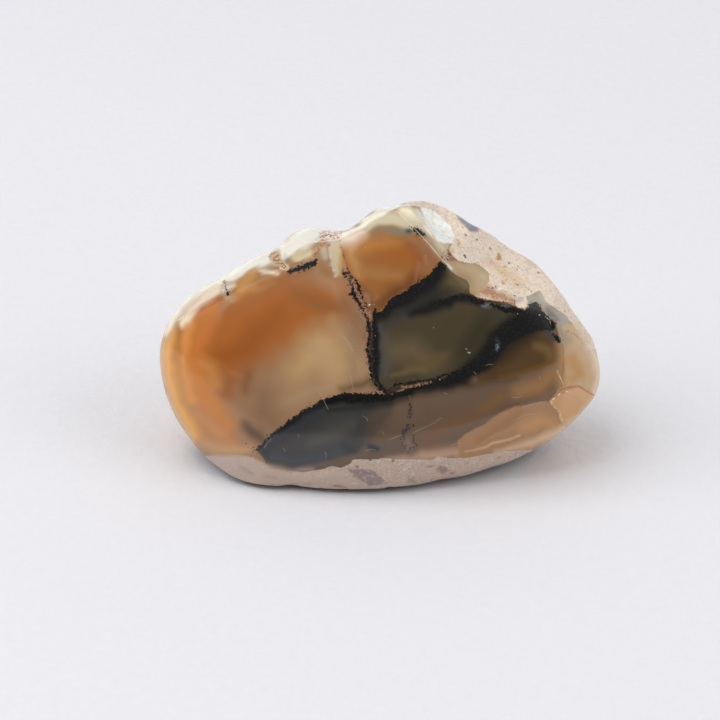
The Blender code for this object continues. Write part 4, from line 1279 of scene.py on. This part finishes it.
class Finish:
    """One material, or the studio round it, and its node tree."""

    def __init__(self, name, kind=bpy.data.materials, shader="Principled BSDF", place="Object"):
        self.owner = kind.new(name)
        self.owner.use_nodes = True
        self.tree = self.owner.node_tree
        self.shader = self.tree.nodes[shader]
        self.place = self.node("ShaderNodeTexCoord", output=place)

    def feed(self, socket, value):
        if isinstance(value, Value):
            self.tree.links.new(value.socket, socket)
        else:
            socket.default_value = value

    def node(self, kind, settings=None, inputs=None, output=0):
        """Adds a node: its settings first, then the values or links of its sockets."""
        node = self.tree.nodes.new(kind)
        for name, setting in (settings or {}).items():
            if name == "stops":
                self.set_stops(node.color_ramp, setting)
            else:
                setattr(node, name, setting)
        for name, value in (inputs or {}).items():
            self.feed(node.inputs[name], value)
        return Value(self, node.outputs[output])

    def set_stops(self, ramp, stops):
        while len(ramp.elements) < len(stops):
            ramp.elements.new(1.0)
        for element, (position, tint) in zip(ramp.elements, stops):
            element.position = position
            element.color = (*linear(tint), 1.0)

    def number(self, name):
        """A marking at each point: how far inside it the point lies in pixels, or a share."""
        return self.node("ShaderNodeAttribute", {"attribute_name": name}, output="Fac")

    def tint(self, name):
        return self.node("ShaderNodeAttribute", {"attribute_name": name}, output="Color")

    def noise(self, size, detail=2.0, roughness=0.5):
        """Noise that spreads about 1 either way, with features of this size in millimetres."""
        inputs = {"Vector": self.place, "Scale": 1.0 / (size * MM)}
        inputs.update({"Detail": detail, "Roughness": roughness})
        return (self.node("ShaderNodeTexNoise", inputs=inputs) - 0.5) * 4.0

    def grains(self, size, output="Distance"):
        """Cells of this size in millimetres: the distance to each one's middle, or its own colour."""
        inputs = {"Vector": self.place, "Scale": 1.0 / (size * MM)}
        return self.node("ShaderNodeTexVoronoi", inputs=inputs, output=output)

    def chance(self, size):
        """A number from 0 to 1 that is the same all over each grain of this size."""
        return self.node("ShaderNodeSeparateColor", inputs={0: self.grains(size, "Color")})

    def rise(self, value, low, high):
        """0 below low, 1 above high, and smooth between."""
        settings = {"interpolation_type": "SMOOTHSTEP"}
        inputs = {"Value": value, "From Min": low, "From Max": high}
        return self.node("ShaderNodeMapRange", settings, inputs)

    def over(self, cover, below, above, blend="MIX"):
        """One colour laid over another where the cover is 1."""
        below = below if isinstance(below, Value) else (*linear(below), 1.0)
        above = above if isinstance(above, Value) else (*linear(above), 1.0)
        settings = {"data_type": "RGBA", "blend_type": blend}
        return self.node("ShaderNodeMix", settings, {0: cover, 6: below, 7: above}, output=2)

    def grey(self, colour):
        return self.node("ShaderNodeRGBToBW", inputs={0: colour})

    def shade(self, colour, amount):
        """A colour made lighter or darker by a factor."""
        inputs = {0: colour, "Scale": amount}
        return self.node("ShaderNodeVectorMath", {"operation": "SCALE"}, inputs)

    def bump(self, height, distance):
        inputs = {"Height": height, "Distance": distance * MM, "Strength": 1.0}
        return self.node("ShaderNodeBump", inputs=inputs)

    def give(self, **values):
        """Sets the shader's sockets, named with _ for a space."""
        for name, value in values.items():
            self.feed(self.shader.inputs[name.replace("_", " ")], value)


def opal_colour(finish, fray):
    """The light opal's tints, with the dark chambers over them. Only black edges of those fray."""
    blackness = finish.rise(finish.grey(finish.tint("dark_tint")), 0.07, 0.02)
    dark = finish.rise(finish.number("dark") + fray * blackness, -0.5, 0.5)
    colour = finish.over(dark, finish.tint("opal_tint"), finish.tint("dark_tint"))
    return finish.shade(colour, TINT_LIFT + 0.03 * finish.noise(4.0, 3.0))


def sandy(finish, cover, colour):
    """Sand laid in a colour, which most grains tint a faint pink and a few darken to flecks."""
    grains = finish.node("ShaderNodeValToRGB", {"stops": SAND_STOPS}, {0: finish.chance(VEIN_GRAIN)})
    return finish.over(cover, colour, grains, "MULTIPLY")


def specks(finish, size, share):
    """Ragged grains, one in some of the cells of this size in millimetres."""
    middle = finish.grains(size) + 0.08 * finish.noise(0.2 * size)
    return finish.rise(middle, 0.2, 0.1) * finish.rise(finish.chance(size), share + 0.03, share)


def sandstone_colour(finish, rough):
    """Painted tints, each sand grain a little lighter or darker, with mottles and scattered specks."""
    grains = 0.18 * (finish.chance(SANDSTONE_GRAIN) - 0.5) + 0.04 * finish.noise(1.6, 3.0)
    grains = 0.97 + rough * (grains + 0.04 * finish.noise(0.35))
    colour = finish.shade(finish.tint("sandstone_tint"), TINT_LIFT * grains)
    mottle = finish.rise(finish.noise(0.8, 3.0), 0.25, 0.9)
    colour = finish.over(0.3 * mottle, colour, MOTTLE_TINT)
    for strength, size, chances, tint in ODD_GRAINS:
        odd = finish.rise(finish.chance(size), *chances)
        colour = finish.over(strength * rough * odd, colour, tint)
    for strength, size, share, tint in SPECKS:
        colour = finish.over(strength * rough * specks(finish, size, share), colour, tint)
    ragged = finish.number("grain") + 0.6 * finish.noise(0.2, 2.0)
    return finish.over(0.9 * finish.rise(ragged, -0.4, 0.4), colour, DARK_GRAIN_TINT)


def moss_cover(finish, fray):
    """The black growth: cores frayed by noise, and dots scattered along them and in the sprinkles."""
    moss = finish.number("moss")
    core = finish.rise(moss + fray, -0.45, 0.45)
    sprinkled = finish.rise(finish.number("sprinkle"), -1.5, 1.0)
    crowding = 0.5 * sprinkled + 0.4 * finish.rise(moss, -4.0, 0.0)
    grown = finish.rise(crowding - finish.chance(MOSS_DOT), 0.0, 0.04)
    return core, grown * finish.rise(finish.grains(MOSS_DOT), 0.55, 0.4)


def thin_line(finish, name, width):
    """A line of one half width in pixels, which gives out where its stroke's own width does."""
    line = finish.number(name + "_line")
    off = line.math("ABSOLUTE", line)
    return finish.rise(off, width + 0.4, width - 0.3) * finish.rise(finish.number(name), -1.6, -0.2)


def nacre_and_highlight_colour(finish, colour):
    """The crest's chip: nacre with a painted highlight, white, with pale green pools and pinkish smears.
    """
    smears = finish.noise(1.1, 4.0, 0.65)
    pearl = finish.node("ShaderNodeValToRGB", {"stops": NACRE_AND_HIGHLIGHT_STOPS}, {0: 0.5 + 0.25 * smears})
    return finish.over(0.8 * finish.rise(finish.number("nacre"), -0.3, 1.5), colour, pearl)


def surface_marks(finish, colour, sandstone):
    """The crack, painted highlights along the ridges, lint, dust and glints, and how dull the lint is."""
    crack = finish.rise(finish.number("crack") + 0.2 * finish.noise(0.4, 2.0), -0.6, 0.5)
    colour = finish.over(0.9 * crack, colour, CRACK_TINT)
    ridge = thin_line(finish, "ridge", 0.3) * (0.5 + 0.35 * finish.noise(0.8, 2.0))
    colour = finish.over(ridge, colour, RIDGE_HIGHLIGHT_TINT)
    scratch = thin_line(finish, "scratch", 0.2) * (0.7 + 0.4 * finish.noise(0.3, 2.0))
    dust = finish.rise(finish.grains(DUST_CELL), 0.05, 0.03) * (1.0 - sandstone)
    dust = dust * finish.chance(DUST_CELL)
    lint = 0.45 * scratch + 0.5 * dust
    colour = finish.over(lint, colour, LINT_TINT)
    glint = finish.rise(finish.number("glint"), -0.4, 0.4)
    return finish.over(0.9 * glint, colour, GLINT_TINT), lint


def stone_colour(finish):
    """The stone's colour, and how much of each place is sandstone, sand and lint."""
    fray = FRAY_REACH * finish.noise(FRAY_SIZE, 3.0, 0.6)
    fray = fray + FINE_FRAY_REACH * finish.noise(FINE_FRAY_SIZE)
    skin = finish.rise(finish.number("polished"), -5.0, 5.0)
    edge = finish.number("sandstone") + 0.4 * finish.noise(0.25)
    sandstone = finish.rise(edge, -0.4 - 3.0 * skin, 0.4 + 3.0 * skin)
    sand = finish.rise(finish.number("sand") + 0.6 * fray, -0.4, 0.6)
    core, dots = moss_cover(finish, fray)
    colour = sandy(finish, 0.9 * sand, nacre_and_highlight_colour(finish, opal_colour(finish, fray)))
    colour = finish.over(sandstone, colour, sandstone_colour(finish, 1.0 - 0.75 * skin))
    # Painted shade under the stone, where the surface faces down.
    colour = finish.over(0.9 * finish.number("underneath"), colour, UNDERSIDE_SHADE_TINT)
    moss_tint = finish.shade(finish.tint("moss_tint"), 1.0 + 0.15 * finish.noise(0.7, 2.0))
    colour = finish.over(core, colour, moss_tint)
    colour = finish.over(0.85 * dots, colour, MOSS_DOT_TINT)
    colour, lint = surface_marks(finish, colour, sandstone)
    return colour, sandstone, sand, lint


def stone_finish():
    """Polished opal with its moss, sand, cracks, scratches and sandstone, read from the surface's own
    attributes and frayed by fine noise."""
    finish = Finish("polished_opal_in_sandstone")
    colour, sandstone, sand, lint = stone_colour(finish)
    gloss = POLISH_ROUGHNESS + 0.015 * finish.noise(9.0, 3.0)
    gloss = gloss + SANDSTONE_ROUGHNESS * sandstone + LINT_ROUGHNESS * lint + SAND_ROUGHNESS * sand
    height = sandstone * (0.5 * finish.noise(0.3, 3.0) + 0.6 * finish.chance(0.22))
    finish.give(
        Base_Color=colour,
        Roughness=gloss,
        Normal=finish.bump(height, 0.02),
        IOR=1.45,
        Subsurface_Weight=GLOW_SHARE,
        Subsurface_Radius=GLOW_BY_COLOUR,
        Subsurface_Scale=GLOW_DEPTH * MM,
    )
    return finish.owner


def make_stone():
    mesh, shift = stone_mesh()
    stone = bpy.data.objects.new("polished_opal", mesh)
    mesh.materials.append(stone_finish())
    bpy.context.scene.collection.objects.link(stone)
    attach(stone, "root")
    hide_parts("dendritic_opal")
    return Vector(shift)


# The studio: a pale paper floor in a white tent that is open towards the camera, with soft lamps shining
# through its walls.
PAPER_SIZE = 3.0
PAPER_TINT = (233, 233, 237)
TENT_LIGHT = (0.72, 0.72, 0.73)
OPENING_LIGHT = (0.33, 0.33, 0.33)

# The Y of a direction below which it goes out of the opening, and above which it meets the walls.
OPENING = (-0.70, -0.20)

# Low down the walls are darker: how much of the light is left at the floor, and the Z of a direction
# where the loss starts and ends.
LOW_LIGHT = 0.05
LOW_WALLS = (0.0, 0.55)

# Each lamp's place, the side of its square and its power, in metres and watts. All aim at the origin.
LAMPS = {
    "left": ((-0.44, -0.08, 0.80), 0.80, 3.4),
    "far_left": ((-0.84, -0.14, 0.42), 0.60, 1.3),
    "right": ((0.76, -0.30, 0.52), 0.70, 2.4),
}


def paper_finish():
    """Matt paper with a faint tooth."""
    finish = Finish("studio_paper")
    tooth = finish.noise(1.5, 4.0)
    colour = finish.shade(tuple(linear(PAPER_TINT)), 1.0 + 0.012 * tooth)
    finish.give(Base_Color=colour, Roughness=0.9, Normal=finish.bump(tooth, 0.04))
    return finish.owner


def make_floor():
    mesh = bpy.data.meshes.new("paper_sheet")
    half = PAPER_SIZE / 2.0
    corners = [(-half, -half, 0.0), (half, -half, 0.0), (half, half, 0.0), (-half, half, 0.0)]
    mesh.from_pydata(corners, [], [(0, 1, 2, 3)])
    mesh.materials.append(paper_finish())
    floor = bpy.data.objects.new("paper_sheet", mesh)
    bpy.context.scene.collection.objects.link(floor)


def tent():
    """The light of the tent's walls, less towards the floor and where the tent is open towards -Y."""
    studio = Finish("studio_tent", bpy.data.worlds, "Background", "Generated")
    towards = studio.node("ShaderNodeSeparateXYZ", inputs={0: studio.place}, output="Y")
    height = studio.node("ShaderNodeSeparateXYZ", inputs={0: studio.place}, output="Z")
    settings = {"data_type": "RGBA"}
    inputs = {0: studio.rise(towards, *OPENING), 6: (*OPENING_LIGHT, 1.0), 7: (*TENT_LIGHT, 1.0)}
    walls = studio.node("ShaderNodeMix", settings, inputs, output=2)
    share = LOW_LIGHT + (1.0 - LOW_LIGHT) * studio.rise(height, *LOW_WALLS)
    studio.give(Color=studio.shade(walls, share))
    return studio.owner


def make_lights():
    """The tent, and the lamps, which leave no mirror image in the polish, as if seen through a filter."""
    for name, (place, size, power) in LAMPS.items():
        light = bpy.data.lights.new(name, "AREA")
        light.size = size
        light.energy = power
        lamp = bpy.data.objects.new(name, light)
        lamp.location = place
        lamp.visible_glossy = False
        lamp.rotation_euler = (-Vector(place)).to_track_quat("-Z", "Y").to_euler()
        bpy.context.scene.collection.objects.link(lamp)
    bpy.context.scene.world = tent()
    bpy.context.scene.view_settings.view_transform = "Standard"


def make_camera(heart):
    """Looks along the face's w axis at the middle of the photograph, from where that was taken."""
    camera = bpy.data.cameras.new("photo_camera")
    camera.sensor_width = SENSOR
    camera.lens = SENSOR * CAMERA_DISTANCE / (FRAME_PIXELS * MM_PER_PIXEL)
    holder = bpy.data.objects.new("photo_camera", camera)
    axes = Matrix(FACE_AXES.T.tolist()).to_4x4()
    offset = Vector((VIEW_AXIS[0], VIEW_AXIS[1], CAMERA_DISTANCE)) * MM
    holder.matrix_world = Matrix.Translation(heart + axes @ offset) @ axes
    bpy.context.scene.collection.objects.link(holder)
    bpy.context.scene.camera = holder


heart_place = make_stone()
make_floor()
make_lights()
make_camera(heart_place)
